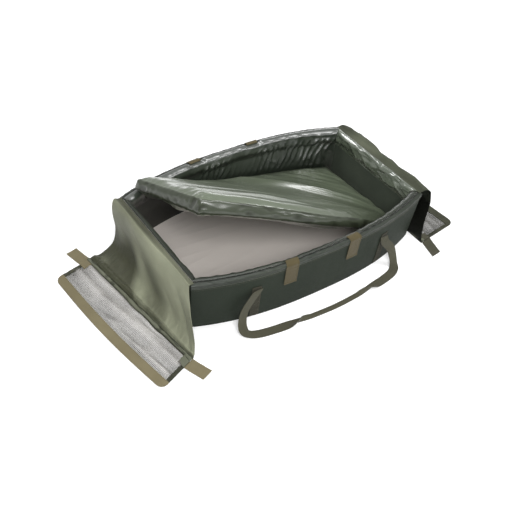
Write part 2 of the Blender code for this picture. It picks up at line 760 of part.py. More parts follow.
def add_right_flap(shop):
    """Add the right flap, which bulges out from the rim and folds back to the foot of the wall."""
    root = shop.axis("right_flap_axis", (HINGE_X, 0, HINGE_HEIGHT))
    half = ROOT_WIDTH / 2
    upper_far = upper_profile(half, RIGHT_FOLD_FAR_Y)
    upper_near = upper_profile(-half, RIGHT_FOLD_NEAR_Y)
    add_flap_fabric(shop, "right_flap_upper", upper_far, upper_near, root, RIGHT_PUFF)
    fold = shop.axis("right_fold_axis", (RIM_EDGE_X + RIGHT_BULGE, 0, RIGHT_FOLD_HEIGHT), root)
    lower_far = lower_profile(RIGHT_FOLD_FAR_Y, RIGHT_SEAM_FAR_Y)
    lower_near = lower_profile(RIGHT_FOLD_NEAR_Y, RIGHT_SEAM_NEAR_Y)
    add_flap_fabric(shop, "right_flap_lower", lower_far, lower_near, fold)
    seam_x = RIM_EDGE_X + RIGHT_SEAM_REACH
    seam_far = Vector((seam_x, RIGHT_SEAM_FAR_Y, 0))
    seam_near = Vector((seam_x, RIGHT_SEAM_NEAR_Y, 0))
    edge_near = Vector((RIM_EDGE_X + RIGHT_EDGE_NEAR_REACH, RIGHT_EDGE_NEAR_Y, 0))
    edge_far = Vector((RIM_EDGE_X + RIGHT_EDGE_FAR_REACH, RIGHT_EDGE_FAR_Y, 0))
    axis = shop.axis("right_seam_axis", (seam_x, 0, LYING), fold)
    corners = (seam_far, seam_near, edge_near, edge_far)
    FlapEnd(shop, "right", corners, RIGHT_EDGE_BOW, RIGHT_TAB_SWEEP, axis).add_pieces()


# Loose pad
def pad_edge(shares, half, rise, side):
    """Return the places along one long edge of the pad's middle surface, right to left."""
    lowest = FLOOR_TOP + GAP + PAD_SEAT_SHARE * PAD_THICKNESS / 2
    places = []
    for end_share, half_share, rise_share in shares:
        end = PAD_RIGHT_END if end_share > 0 else PAD_LEFT_END
        places.append(Vector((end * end_share, side * half * half_share, lowest + rise * rise_share)))
    return places


def add_pad(shop):
    """Add the loose pad: a foam core in a glossy cover, bent and twisted as it leans in the tub."""
    near = pad_edge(PAD_NEAR_EDGE_SHARES, PAD_NEAR_HALF, PAD_NEAR_RISE, -1)
    far = pad_edge(PAD_FAR_EDGE_SHARES, PAD_FAR_HALF, PAD_FAR_RISE, 1)
    def middle(u, v):
        return mix(on_route(near, u), on_route(far, u), v)

    def shaper(inset, thickness):
        """Return the place function of a cushion that lies inset from the pad's outline."""

        def place(u, v, w):
            length = PAD_RIGHT_END + PAD_LEFT_END
            width = PAD_NEAR_HALF + PAD_FAR_HALF
            along = mix(inset / length, 1 - inset / length, u)
            across = mix(inset / width, 1 - inset / width, v)
            ahead = min(along + PAD_SLOPE_SHARE, 1)
            behind = max(along - PAD_SLOPE_SHARE, 0)
            run = middle(ahead, across) - middle(behind, across)
            rise = middle(along, 1) - middle(along, 0)
            upward = rise.cross(run).normalized()
            crown = 1 + PAD_CROWN_SHARE * math.sin(math.pi * u) * math.sin(math.pi * v)
            rounded = PAD_EDGE_SHARE if u in (0, 1) or v in (0, 1) else 1
            sag = PAD_SAG * (1 - w) * along**4 * (1 - across)
            return middle(along, across) + upward * (thickness * (w - 1 / 2) * crown * rounded - sag)

        return place

    axis = shop.axis("pad_axis", (0, 0, FLOOR_TOP))
    cuts = (PAD_ALONG_SHARES, PAD_ACROSS_SHARES, [0, 1])
    cover = shop.block("pad_cover", cuts, shaper(0, PAD_THICKNESS), "pad_cover", axis)
    open_cover(cover)
    inside = PAD_COVER_THICKNESS + PAD_CORE_CLEARANCE
    core_place = shaper(2 * inside, PAD_THICKNESS - 2 * inside)
    core = shop.block("pad_core", cuts, core_place, "foam", axis)
    add_smoothing(core)


def add_smoothing(part):
    """Round a coarse cage with one level of subdivision."""
    smooth = part.modifiers.new("smooth", "SUBSURF")
    smooth.levels = 1
    smooth.render_levels = 1
    smooth.boundary_smooth = "ALL"


def open_cover(cover):
    """Open the cover along the middle of its far edge, where its closure is, and give it its wall."""
    solid = bmesh.new()
    solid.from_mesh(cover.data)
    solid.faces.ensure_lookup_table()
    highest = max(face.calc_center_median().y for face in solid.faces)
    mouth = [face for face in solid.faces if face.calc_center_median().y > highest - PAD_THICKNESS / 4]
    mouth = [face for face in mouth if abs(face.normal.y) > abs(face.normal.z)]
    bmesh.ops.delete(solid, geom=mouth, context="FACES")
    solid.to_mesh(cover.data)
    solid.free()
    add_smoothing(cover)
    wall = cover.modifiers.new("wall", "SOLIDIFY")
    wall.thickness = PAD_COVER_THICKNESS
    wall.offset = -1
    wall.use_even_offset = False


def main():
    """Build every part of the mat."""
    clear_scene()
    shop = Workshop()
    add_tub(shop)
    add_wall_webbing(shop)
    add_left_flap(shop)
    add_right_flap(shop)
    add_pad(shop)


main()
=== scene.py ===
"""Looks of the unhooking mat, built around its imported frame.

Metres, +Z up, in the frame's own axes: X along the tub, +Y to its far wall.
"""

from __future__ import annotations

import json
import logging
import math
from collections.abc import Callable, Iterable, Mapping, Sequence
from dataclasses import dataclass, field, replace
from enum import Enum
from typing import TypeVar

import bmesh
import bpy
from mathutils import Matrix, Vector, noise

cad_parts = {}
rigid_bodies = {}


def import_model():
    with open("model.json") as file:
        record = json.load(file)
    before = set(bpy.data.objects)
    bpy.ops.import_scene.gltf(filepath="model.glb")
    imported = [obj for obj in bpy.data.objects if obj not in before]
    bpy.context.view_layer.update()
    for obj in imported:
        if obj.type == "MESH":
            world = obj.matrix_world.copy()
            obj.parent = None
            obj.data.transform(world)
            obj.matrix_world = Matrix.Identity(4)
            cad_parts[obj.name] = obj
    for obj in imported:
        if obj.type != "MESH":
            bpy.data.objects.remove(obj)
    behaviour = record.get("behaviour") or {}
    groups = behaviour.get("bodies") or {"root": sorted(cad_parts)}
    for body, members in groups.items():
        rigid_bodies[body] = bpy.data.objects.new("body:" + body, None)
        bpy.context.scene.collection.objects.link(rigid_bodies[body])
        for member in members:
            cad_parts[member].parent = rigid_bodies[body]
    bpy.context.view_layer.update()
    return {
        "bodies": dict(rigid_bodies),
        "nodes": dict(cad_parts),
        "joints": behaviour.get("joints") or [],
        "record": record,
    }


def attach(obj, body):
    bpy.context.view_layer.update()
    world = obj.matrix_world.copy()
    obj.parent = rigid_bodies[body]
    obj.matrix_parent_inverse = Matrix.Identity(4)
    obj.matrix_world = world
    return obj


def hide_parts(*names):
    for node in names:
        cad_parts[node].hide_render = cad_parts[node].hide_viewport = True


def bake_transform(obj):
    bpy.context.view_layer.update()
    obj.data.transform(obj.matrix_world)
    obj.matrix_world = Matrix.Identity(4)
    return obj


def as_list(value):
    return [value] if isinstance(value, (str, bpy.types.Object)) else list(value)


LOG = logging.getLogger("unhooking_mat")

Surface = Callable[[float, float], Vector]
Darkness = Callable[..., float]
Spot = tuple[float, float]
Color = tuple[float, float, float]
Shares = tuple[tuple[float, ...], ...]
Piece = bpy.types.Object
Tree = bpy.types.ShaderNodeTree
Socket = bpy.types.NodeSocket
Feed = Socket | float | Sequence[float]
Inputs = Mapping[str | int, Feed]
Amount = TypeVar("Amount", float, Vector)

UP = Vector((0, 0, 1))


# Small sums


def mix(start: Amount, end: Amount, share: float) -> Amount:
    """Return the value or point at a share of the way from start to end."""
    return start + (end - start) * share


def smooth_step(low: float, high: float, value: float) -> float:
    """Return 0 below low, 1 above high and a smooth rise between them."""
    share = min(max((value - low) / (high - low), 0.0), 1.0)
    return share * share * (3 - 2 * share)


def hump(value: float, centre: float, width: float) -> float:
    """Return a bell of height 1 at centre."""
    return math.exp(-(((value - centre) / width) ** 2))


def wander(x: float, y: float, z: float = 0.0) -> float:
    """Return smooth noise between about -1 and 1."""
    return noise.noise(Vector((x, y, z)))


def ridged(x: float, y: float, z: float = 0.0) -> float:
    """Return noise with sharp creases, from 0 to 1."""
    return 1 - min(abs(noise.noise(Vector((x, y, z)))) * 2.2, 1.0)


def on_route(points: Sequence[Vector], share: float) -> Vector:
    """Return a point on a smooth curve through points.

    Args:
        points: The points, which share the curve evenly.
        share: From 0 at the first point to 1 at the last.

    Returns:
        The point.
    """
    spans = len(points) - 1
    position = min(max(share, 0.0), 1.0) * spans
    index = min(int(position), spans - 1)
    local = position - index
    first, second = points[index], points[index + 1]
    before, after = points[max(index - 1, 0)], points[min(index + 2, spans)]
    leaving, arriving = (second - before) / 2, (after - first) / 2
    square = local * local
    cube = square * local
    return (
        first * (2 * cube - 3 * square + 1)
        + leaving * (cube - 2 * square + local)
        + second * (3 * square - 2 * cube)
        + arriving * (cube - square)
    )


class Side(Enum):
    """A wall of the tub, with the sign of its outward direction."""

    NEAR = ("near", -1)
    FAR = ("far", 1)
    LEFT = ("left", -1)
    RIGHT = ("right", 1)

    @property
    def word(self) -> str:
        """The side's name in node names."""
        return self.value[0]

    @property
    def sign(self) -> int:
        """The side's outward sign."""
        return self.value[1]

    @property
    def is_long(self) -> bool:
        """Whether it is a long wall."""
        return self in (Side.NEAR, Side.FAR)


# Shader nodes


class Wiring:
    """Adds nodes to one tree and feeds their inputs with sockets or plain values."""

    def __init__(self, tree: Tree) -> None:
        """Keep the tree."""
        self.tree = tree

    def feed(self, node: bpy.types.Node, inputs: Inputs) -> None:
        """Link or set inputs of a node.

        Args:
            node: The node.
            inputs: The socket or value for each input, by its name or number.
        """
        for key, value in inputs.items():
            if isinstance(value, Socket):
                self.tree.links.new(value, node.inputs[key])
            else:
                node.inputs[key].default_value = value

    def add(self, kind: str, inputs: Inputs | None = None, **settings: object) -> bpy.types.Node:
        """Add a node.

        Args:
            kind: Its type, without the leading ShaderNode.
            inputs: The socket or value for each input.
            settings: The values of its own options.

        Returns:
            The node.
        """
        node = self.tree.nodes.new(f"ShaderNode{kind}")
        for name, value in settings.items():
            setattr(node, name, value)
        self.feed(node, inputs or {})
        return node

    def use(self, group: Tree, inputs: Inputs) -> bpy.types.bpy_prop_collection:
        """Place a shared group with its own values and return its outputs."""
        return self.add("Group", inputs, node_tree=group).outputs

    def math(self, operation: str, *values: Feed) -> Socket:
        """Return the result of a Math node."""
        return self.add("Math", dict(enumerate(values)), operation=operation).outputs[0]

    def vector(self, operation: str, inputs: Inputs) -> Socket:
        """Return the vector of a Vector Math node."""
        return self.add("VectorMath", inputs, operation=operation).outputs[0]

    def cloud(self, place: Feed, scale: Feed, detail: float, **more: float) -> bpy.types.Node:
        """Add a noise texture."""
        return self.add("TexNoise", {"Vector": place, "Scale": scale, "Detail": detail, **more})

    def ranged(self, value: Feed, low: float, high: float, start: float = 0.0, end: float = 1.0) -> Socket:
        """Return a value moved from the range of start to end into that of low to high."""
        inputs = {"Value": value, "From Min": start, "From Max": end, "To Min": low, "To Max": high}
        return self.add("MapRange", inputs).outputs[0]

    def color(self, blend: str, factor: Feed, first: Feed, second: Feed) -> Socket:
        """Return the blend of two colours, where factor is the share of the second."""
        node = self.add("Mix", {0: factor, 6: first, 7: second}, data_type="RGBA", blend_type=blend)
        return node.outputs[2]

    def bump(self, height: Socket, depth: float, before: Socket | None = None) -> Socket:
        """Return the normal of a Bump of a depth in metres, on top of the one before."""
        given = {"Normal": before} if before else {}
        return self.add("Bump", {"Strength": 1.0, "Distance": depth, "Height": height, **given}).outputs[0]


class Shaders:
    """Builds the node groups that the finishes share."""

    def __init__(self) -> None:
        """Build every shared group once."""
        self.weave = self._weave_group()
        self.mottle = self._mottle_group()
        self.crinkle = self._crinkle_group()

    @staticmethod
    def _group(
        name: str, inputs: dict[str, float], outputs: Sequence[str]
    ) -> tuple[Wiring, bpy.types.bpy_prop_collection, bpy.types.Node]:
        """Start a group, whose first input is the place that its patterns read.

        Args:
            name: The group's name.
            inputs: Each further input's name and default value.
            outputs: The outputs' names.

        Returns:
            The group's wiring, the sockets of its inputs and its output node.
        """
        tree = bpy.data.node_groups.new(name, "ShaderNodeTree")
        tree.interface.new_socket("Place", in_out="INPUT", socket_type="NodeSocketVector")
        for label, value in inputs.items():
            socket = tree.interface.new_socket(label, in_out="INPUT", socket_type="NodeSocketFloat")
            socket.default_value = value
        for label in outputs:
            tree.interface.new_socket(label, in_out="OUTPUT", socket_type="NodeSocketFloat")
        return Wiring(tree), tree.nodes.new("NodeGroupInput").outputs, tree.nodes.new("NodeGroupOutput")

    def _weave_group(self) -> Tree:
        """Build a plain weave: threads over and under each other, unevenly thick.

        Returns:
            The group.
        """
        wiring, given, out = self._group(
            "plain_weave", {"Threads": 900.0, "Unevenness": 0.25}, ("Height", "Thread")
        )
        scaled = wiring.vector("SCALE", {0: given["Place"], "Scale": given["Threads"]})
        lanes = wiring.add("SeparateXYZ", {0: scaled}).outputs
        crossed = wiring.math("MULTIPLY", wiring.math("SINE", lanes["X"]), wiring.math("SINE", lanes["Y"]))
        raised = wiring.math("ADD", wiring.math("MULTIPLY", crossed, 0.5), 0.5)
        speckle = wiring.cloud(given["Place"], 140.0, 3.0).outputs["Fac"]
        rough = wiring.math("MULTIPLY", speckle, given["Unevenness"])
        wiring.feed(out, {"Height": wiring.math("ADD", raised, rough), "Thread": raised})
        return wiring.tree

    def _mottle_group(self) -> Tree:
        """Build slow and fast cloudiness, for uneven dye, dust and handling.

        Returns:
            The group.
        """
        wiring, given, out = self._group("mottle", {"Cloud": 6.0, "Grain": 90.0}, ("Clouds", "Grains"))
        for scale, name, detail in (("Cloud", "Clouds", 4.0), ("Grain", "Grains", 2.0)):
            texture = wiring.cloud(given["Place"], given[scale], detail, Roughness=0.6)
            wiring.feed(out, {name: texture.outputs["Fac"]})
        return wiring.tree

    def _crinkle_group(self) -> Tree:
        """Build the fine creases of a stiff coated cloth.

        Returns:
            The group.
        """
        wiring, given, out = self._group("crinkle", {"Creases": 24.0, "Drift": 0.6}, ("Height",))
        drift = wiring.cloud(given["Place"], 5.0, 2.0).outputs["Color"]
        pushed = wiring.vector("SCALE", {0: drift, "Scale": given["Drift"]})
        moved = wiring.vector("ADD", {0: given["Place"], 1: pushed})
        creases = wiring.cloud(moved, given["Creases"], 3.0)
        creases.noise_type = "RIDGED_MULTIFRACTAL"
        wiring.feed(out, {"Height": creases.outputs["Fac"]})
        return wiring.tree


# Finishes


@dataclass(frozen=True)
class Cloth:
    """A cloth, webbing or coated finish, as the values of its material."""

    name: str
    shade: Color
    tint: Color
    roughness: float
    slot: str
    threads: float = 2600.0
    weave_depth: float = 0.00012
    creases: float = 22.0
    crease_depth: float = 0.0
    coat: float = 0.0
    coat_roughness: float = 0.2
    coat_ior: float = 1.5
    specular: float = 0.28
    sheen: float = 0.0
    cloud: float = 5.0
    cloud_share: float = 0.5
    follows_surface: bool = False
    grain: float = 110.0
    unevenness: float = 0.3
    fleck: float = 0.35
    thread_tones: tuple[float, float] = (0.62, 1.25)
    # Tone and coat share where the shade attribute paints shade and marks seam lines.
    fold_tone: Color = (0.16, 0.16, 0.13)
    fold_coat_share: float = 0.2
    roughness_spread: float = 0.10
    drift: float = 0.5

    def build(self, shaders: Shaders) -> bpy.types.Material:
        """Build the material, which its shade attribute darkens with painted shade and dark seam lines, with
        less coat there.

        Args:
            shaders: The shared node groups.

        Returns:
            The finished material.
        """
        material = bpy.data.materials.new(self.name)
        material.use_nodes = True
        wiring = Wiring(material.node_tree)
        place = wiring.add("TexCoord").outputs["UV" if self.follows_surface else "Object"]
        # Shade attribute: painted shade in folds, valleys and corners, and dark seam lines.
        painted_shade_and_seams = wiring.add("Attribute", attribute_name="shade").outputs["Fac"]
        mottle = wiring.use(shaders.mottle, {"Place": place, "Cloud": self.cloud, "Grain": self.grain})
        weave = wiring.use(
            shaders.weave, {"Place": place, "Threads": self.threads, "Unevenness": self.unevenness}
        )
        start, end = 0.5 - self.cloud_share / 2, 0.5 + self.cloud_share / 2
        clouds = wiring.ranged(mottle["Clouds"], 0.0, 1.0, start, end)
        dyed = wiring.color("MIX", clouds, (*self.shade, 1.0), (*self.tint, 1.0))
        tone = wiring.ranged(weave["Thread"], *self.thread_tones)
        woven = wiring.color("MULTIPLY", self.fleck, dyed, tone)
        relief = wiring.bump(weave["Height"], self.weave_depth)
        if self.crease_depth:
            crinkle = wiring.use(
                shaders.crinkle, {"Place": place, "Creases": self.creases, "Drift": self.drift}
            )
            relief = wiring.bump(crinkle["Height"], self.crease_depth, relief)
        smoothest = max(self.roughness - self.roughness_spread, 0.05)
        roughest = min(self.roughness + self.roughness_spread, 1.0)
        shader = material.node_tree.nodes["Principled BSDF"]
        wiring.feed(shader, {
            "Base Color": wiring.color("MULTIPLY", painted_shade_and_seams, woven, (*self.fold_tone, 1.0)),
            "Roughness": wiring.ranged(mottle["Grains"], smoothest, roughest),
            "Normal": relief,
            "Coat Roughness": self.coat_roughness,
            "Coat IOR": self.coat_ior,
            "Specular IOR Level": self.specular,
            "Sheen Weight": self.sheen,
            "Sheen Roughness": 0.5,
        })
        if self.coat:
            shine = wiring.ranged(painted_shade_and_seams, self.coat, self.coat * self.fold_coat_share)
            wiring.feed(shader, {"Coat Weight": shine})
        return material


SHELL = Cloth(
    "coated_shell", (0.014, 0.019, 0.013), (0.023, 0.030, 0.021), 0.62, "shell_fabric", threads=7000,
    weave_depth=0.00006, crease_depth=0.0008, creases=6, specular=0.12, cloud_share=0.9,
)
RIM = Cloth(
    "rim_coating", (0.018, 0.023, 0.017), (0.032, 0.038, 0.028), 0.46, "shell_fabric", threads=7000,
    weave_depth=0.00006, crease_depth=0.0010, creases=22, coat=0.1, coat_roughness=0.35, specular=0.25,
)
LINING = Cloth(
    "glossy_lining", (0.016, 0.022, 0.016), (0.029, 0.037, 0.026), 0.34, "glossy_lining", threads=8000,
    weave_depth=0.00003, crease_depth=0.0004, creases=11, coat=1.0, coat_roughness=0.28, coat_ior=2.1,
    cloud_share=0.8, specular=0.35,
)
NEAR_LINING = Cloth(
    "worn_lining", (0.016, 0.020, 0.015), (0.030, 0.036, 0.026), 0.42, "glossy_lining", threads=8000,
    weave_depth=0.00003, crease_depth=0.0004, creases=11, coat=0.30, coat_roughness=0.34, specular=0.25,
)
CUFF = Cloth(
    "glossy_cuff", (0.062, 0.077, 0.053), (0.105, 0.124, 0.088), 0.28, "glossy_lining", threads=8000,
    weave_depth=0.00003, crease_depth=0.0005, creases=12, coat=0.9, coat_roughness=0.16, coat_ior=1.9,
    specular=0.5,
)
END_LINING = Cloth(
    "matt_lining", (0.034, 0.042, 0.031), (0.050, 0.060, 0.044), 0.66, "wall_lining", threads=7000,
    crease_depth=0.0006, creases=7, specular=0.3,
)
FLOOR = Cloth(
    "floor_cloth", (0.545, 0.500, 0.462), (0.620, 0.572, 0.530), 0.80, "floor_fabric", threads=6000,
    weave_depth=0.00008, crease_depth=0.0004, creases=9, cloud=3.0, specular=0.5,
)
PAD = Cloth(
    "pad_coating", (0.082, 0.100, 0.066), (0.114, 0.136, 0.092), 0.34, "pad_cover", threads=8000,
    weave_depth=0.00003, crease_depth=0.0003, creases=8, coat=0.80, coat_roughness=0.18, coat_ior=1.8,
    specular=0.25, cloud=2.4, cloud_share=0.9,
)
FLAP = Cloth(
    "flap_cloth", (0.228, 0.242, 0.164), (0.345, 0.360, 0.256), 0.60, "flap_fabric", threads=6500,
    weave_depth=0.00008, crease_depth=0.0014, creases=7, sheen=0.05, specular=0.30, cloud=3.4,
    cloud_share=0.42,
)
FLAP_DARK = Cloth(
    "flap_cloth_shaded", (0.048, 0.055, 0.036), (0.092, 0.100, 0.067), 0.60, "flap_fabric", threads=6500,
    weave_depth=0.00008, crease_depth=0.0022, creases=9, specular=0.14, cloud=4.0, cloud_share=0.42,
)
# Near black: the backing's own dark coating, also painted shade on the flaps' shaded undersides.
BACKING = Cloth(
    "flap_backing", (0.014, 0.017, 0.012), (0.026, 0.030, 0.021), 0.55, "flap_fabric", threads=6500,
    crease_depth=0.0008, creases=8, specular=0.25,
)
NET = Cloth(
    "net_yarn", (0.230, 0.218, 0.204), (0.480, 0.462, 0.440), 0.72, "net", threads=9000,
    weave_depth=0.00006, cloud=7.0, cloud_share=0.32,
)
NET_DARK = Cloth(
    "net_yarn_shaded", (0.150, 0.147, 0.132), (0.250, 0.245, 0.225), 0.72, "net", threads=9000,
    weave_depth=0.00006,
)
WEBBING = Cloth(
    "webbing", (0.128, 0.108, 0.058), (0.190, 0.164, 0.094), 0.78, "webbing", threads=1900,
    weave_depth=0.00030, sheen=0.12, follows_surface=True,
)
WEBBING_DARK = replace(
    WEBBING, name="webbing_shaded", shade=(0.050, 0.039, 0.015), tint=(0.086, 0.068, 0.028),
)
HANDLE = replace(
    WEBBING, name="handle_webbing", shade=(0.041, 0.040, 0.024), tint=(0.070, 0.067, 0.042), roughness=0.80,
    slot="handle_webbing",
)
ANCHOR = replace(
    HANDLE, name="anchor_webbing", shade=(0.024, 0.024, 0.016), tint=(0.044, 0.041, 0.027), sheen=0.0,
)
TAPE = Cloth(
    "binding_tape", (0.026, 0.028, 0.018), (0.058, 0.059, 0.040), 0.72, "binding_tape", threads=3600,
    weave_depth=0.0002, specular=0.2, cloud=16.0, cloud_share=0.4,
)
SEAM = Cloth(
    "seam_cloth", (0.072, 0.078, 0.052), (0.140, 0.148, 0.104), 0.62, "flap_fabric", threads=6500,
    weave_depth=0.00008, crease_depth=0.0010, creases=20,
)
THREAD = Cloth(
    "stitching", (0.085, 0.086, 0.062), (0.130, 0.126, 0.092), 0.7, "webbing", threads=9000,
    weave_depth=0.00003,
)
DARK_THREAD = replace(
    THREAD, name="dark_stitching", shade=(0.022, 0.024, 0.018), tint=(0.036, 0.038, 0.028),
)
FOAM = Cloth(
    "foam", (0.42, 0.41, 0.38), (0.56, 0.55, 0.51), 0.95, "foam", threads=1200, weave_depth=0.0004,
)
FINISHES = (
    SHELL, RIM, LINING, NEAR_LINING, CUFF, END_LINING, FLOOR, PAD, FLAP, FLAP_DARK, BACKING, NET,
    NET_DARK, WEBBING, WEBBING_DARK, HANDLE, ANCHOR, TAPE, SEAM, THREAD, DARK_THREAD, FOAM,
)


# Making pieces


@dataclass(frozen=True)
class Cut:
    """How a sheet of cloth or webbing is cut, held and dressed."""

    name: str
    steps: tuple[int, int]
    finish: Cloth
    width: float
    thickness: float
    held: str
    rests_on: tuple[str, ...] = ()
    stands_for: tuple[str, ...] = ()
    body: str = "tub"
    offset: float = 0.0
    sharp_from: float = 60.0
    backing: Cloth | None = None


@dataclass(frozen=True)
class Stitch:
    """A raised bead of thread and the gap behind it."""

    length: float = 0.0042
    gap: float = 0.0022
    width: float = 0.0009
    rise_share: float = 0.55
    outline_shares: tuple[Spot, ...] = (
        (-0.5, 0.0), (-0.3, 0.5), (0.3, 0.5), (0.5, 0.0), (0.3, -0.5), (-0.3, -0.5),
    )
    crest_shares: tuple[float, float] = (0.2, -0.2)
    faces: tuple[tuple[int, ...], ...] = (
        (0, 5, 7), (0, 7, 1), (1, 7, 6, 2), (2, 6, 3), (3, 6, 4), (4, 6, 7, 5), (0, 1, 2, 3, 4, 5),
    )

    def points(self, centre: Vector, ahead: Vector, up: Vector) -> list[Vector]:
        """Return the corners of a bead.

        Args:
            centre: The middle of its foot.
            ahead: The way that its row runs.
            up: The way up from the cloth.

        Returns:
            Its outline and then its crest.
        """
        aside = up.cross(ahead).normalized()
        outline = [
            centre + ahead * along * self.length + aside * across * self.width
            for along, across in self.outline_shares
        ]
        rise = up * self.width * self.rise_share
        return outline + [centre + ahead * self.length * share + rise for share in self.crest_shares]


class Bench:
    """Makes meshes with operators and turns them into finished pieces."""

    def __init__(self, shaders: Shaders) -> None:
        """Build every finish once."""
        self.materials = {finish.name: finish.build(shaders) for finish in FINISHES}

    @staticmethod
    def alone(piece: Piece) -> None:
        """Make a piece the only selected and the active object.

        Args:
            piece: The piece.
        """
        bpy.ops.object.select_all(action="DESELECT")
        piece.select_set(True)
        bpy.context.view_layer.objects.active = piece

    def point_outwards(self, piece: Piece) -> None:
        """Turn the faces of a closed piece outwards.

        Args:
            piece: The piece.
        """
        self.alone(piece)
        bpy.ops.object.mode_set(mode="EDIT")
        bpy.ops.mesh.select_all(action="SELECT")
        bpy.ops.mesh.normals_make_consistent(inside=False)
        bpy.ops.object.mode_set(mode="OBJECT")

    def grid(
        self, name: str, steps: tuple[int, int], surface: Surface, amount: Darkness | None = None
    ) -> Piece:
        """Add a grid, lay it on a surface and give it a UV map in metres.

        Args:
            name: The piece's name.
            steps: Faces along u and along v.
            surface: The place at u and v, each from 0 to 1.
            amount: How dark painted shade and seam lines make it at u and v.

        Returns:
            The piece, an open sheet.
        """
        bpy.ops.object.select_all(action="DESELECT")
        bpy.ops.mesh.primitive_grid_add(
            x_subdivisions=steps[0], y_subdivisions=steps[1], size=1, calc_uvs=True
        )
        piece = bpy.context.object
        piece.name = name
        mesh = piece.data
        mesh.name = name
        shares = [(vertex.co.x + 0.5, vertex.co.y + 0.5) for vertex in mesh.vertices]
        places = [surface(u, v) for u, v in shares]
        mesh.vertices.foreach_set("co", [value for place in places for value in place])
        self._measure(mesh, shares, surface)
        if amount:
            self.shade(piece, shares, amount)
        mesh.update()
        return piece

    @staticmethod
    def shade(piece: Piece, shares: Iterable[Sequence[float]], amount: Darkness) -> None:
        """Store how dark painted shade and seam lines make each point, from 0 to 1.

        Args:
            piece: The piece.
            shares: Each point's shares along the piece.
            amount: The darkness at a point's shares.
        """
        layer = piece.data.attributes.new("shade", "FLOAT", "POINT")
        layer.data.foreach_set("value", [min(max(amount(*share), 0.0), 1.0) for share in shares])

    @staticmethod
    def _measure(mesh: bpy.types.Mesh, shares: Sequence[Spot], surface: Surface) -> None:
        """Scale the UV map to the surface's own size, so that patterns keep their scale.

        Args:
            mesh: The mesh.
            shares: Each point's u and v.
            surface: The place at u and v.
        """
        lines = [surface(step / 8, 0.5) for step in range(9)], [surface(0.5, step / 8) for step in range(9)]
        across, down = (sum((end - start).length for start, end in zip(line, line[1:])) for line in lines)
        layer = mesh.uv_layers.active.data
        for loop in mesh.loops:
            u, v = shares[loop.vertex_index]
            layer[loop.index].uv = (u * across, v * down)

    def thicken(
        self, piece: Piece, thickness: float, offset: float = 0.0, backed: tuple[Cloth, Cloth] | None = None
    ) -> None:
        """Give a sheet its thickness with a Solidify that is applied.

        Args:
            piece: The open sheet.
            thickness: Its thickness.
            offset: -1 to thicken away from its face, 0 to both sides.
            backed: The finishes of its face and its back, where they differ.
        """
        solidify = piece.modifiers.new("thickness", "SOLIDIFY")
        solidify.thickness = thickness
        solidify.offset = offset
        solidify.use_even_offset = False
        if backed:
            for finish in backed:
                piece.data.materials.append(self.materials[finish.name])
            solidify.material_offset = 1
        self.alone(piece)
        bpy.ops.object.modifier_apply(modifier=solidify.name)

    def finish(
        self, piece: Piece, finish: Cloth, body: str, nodes: Sequence[str] = (), angle: float = 60.0
    ) -> Piece:
        """Dress a piece and set it on its body.

        Args:
            piece: The finished shape.
            finish: Its finish.
            body: The CAD body that carries it, or none.
            nodes: The CAD nodes that it stands for.
            angle: Edges sharper than this many degrees stay sharp.

        Returns:
            The piece.
        """
        if piece.data.materials:
            piece.data.materials[0] = self.materials[finish.name]
        else:
            piece.data.materials.append(self.materials[finish.name])
        self.alone(piece)
        bpy.ops.object.shade_smooth_by_angle(angle=math.radians(angle))
        if body:
            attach(piece, body)
        if nodes:
            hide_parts(*nodes)
        LOG.info("%s: %d faces on %s", piece.name, len(piece.data.polygons), body)
        return piece

    @staticmethod
    def area(piece: Piece) -> float:
        """Return a mesh's area."""
        return sum(polygon.area for polygon in piece.data.polygons)

    @staticmethod
    def face_along(piece: Piece, way: Vector, where: Callable[[Vector], bool] | None = None) -> None:
        """Turn a sheet over if its faces point against a way.

        Args:
            piece: The sheet.
            way: The way that its faces should point.
            where: Picks the faces that count by their middles, or all count.
        """
        picked = [polygon for polygon in piece.data.polygons if where is None or where(polygon.center)]
        if sum(polygon.normal.dot(way) for polygon in picked) < 0:
            piece.data.flip_normals()

    def sheet(
        self,
        cut: Cut,
        surface: Surface,
        way: Vector,
        where: Callable[[Vector], bool] | None = None,
        amount: Darkness | None = None,
    ) -> Piece:
        """Make a sheet from its cut: laid on its surface, thickened and dressed.

        Args:
            cut: How it is cut, held and dressed.
            surface: The place at u and v, each from 0 to 1.
            way: The way that its faces point.
            where: Picks the faces that are turned that way, or all of them.
            amount: How dark it is at u and v.

        Returns:
            The finished piece.
        """
        piece = self.grid(cut.name, cut.steps, surface, amount)
        self.face_along(piece, way, where)
        length = self.area(piece) / cut.width
        LOG.info("%s: cut %.0f x %.0f mm", piece.name, cut.width * 1000, length * 1000)
        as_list(cut.rests_on)
        backed = (cut.finish, cut.backing) if cut.backing else None
        self.thicken(piece, cut.thickness, cut.offset, backed)
        return self.finish(piece, cut.finish, cut.body, cut.stands_for, cut.sharp_from)

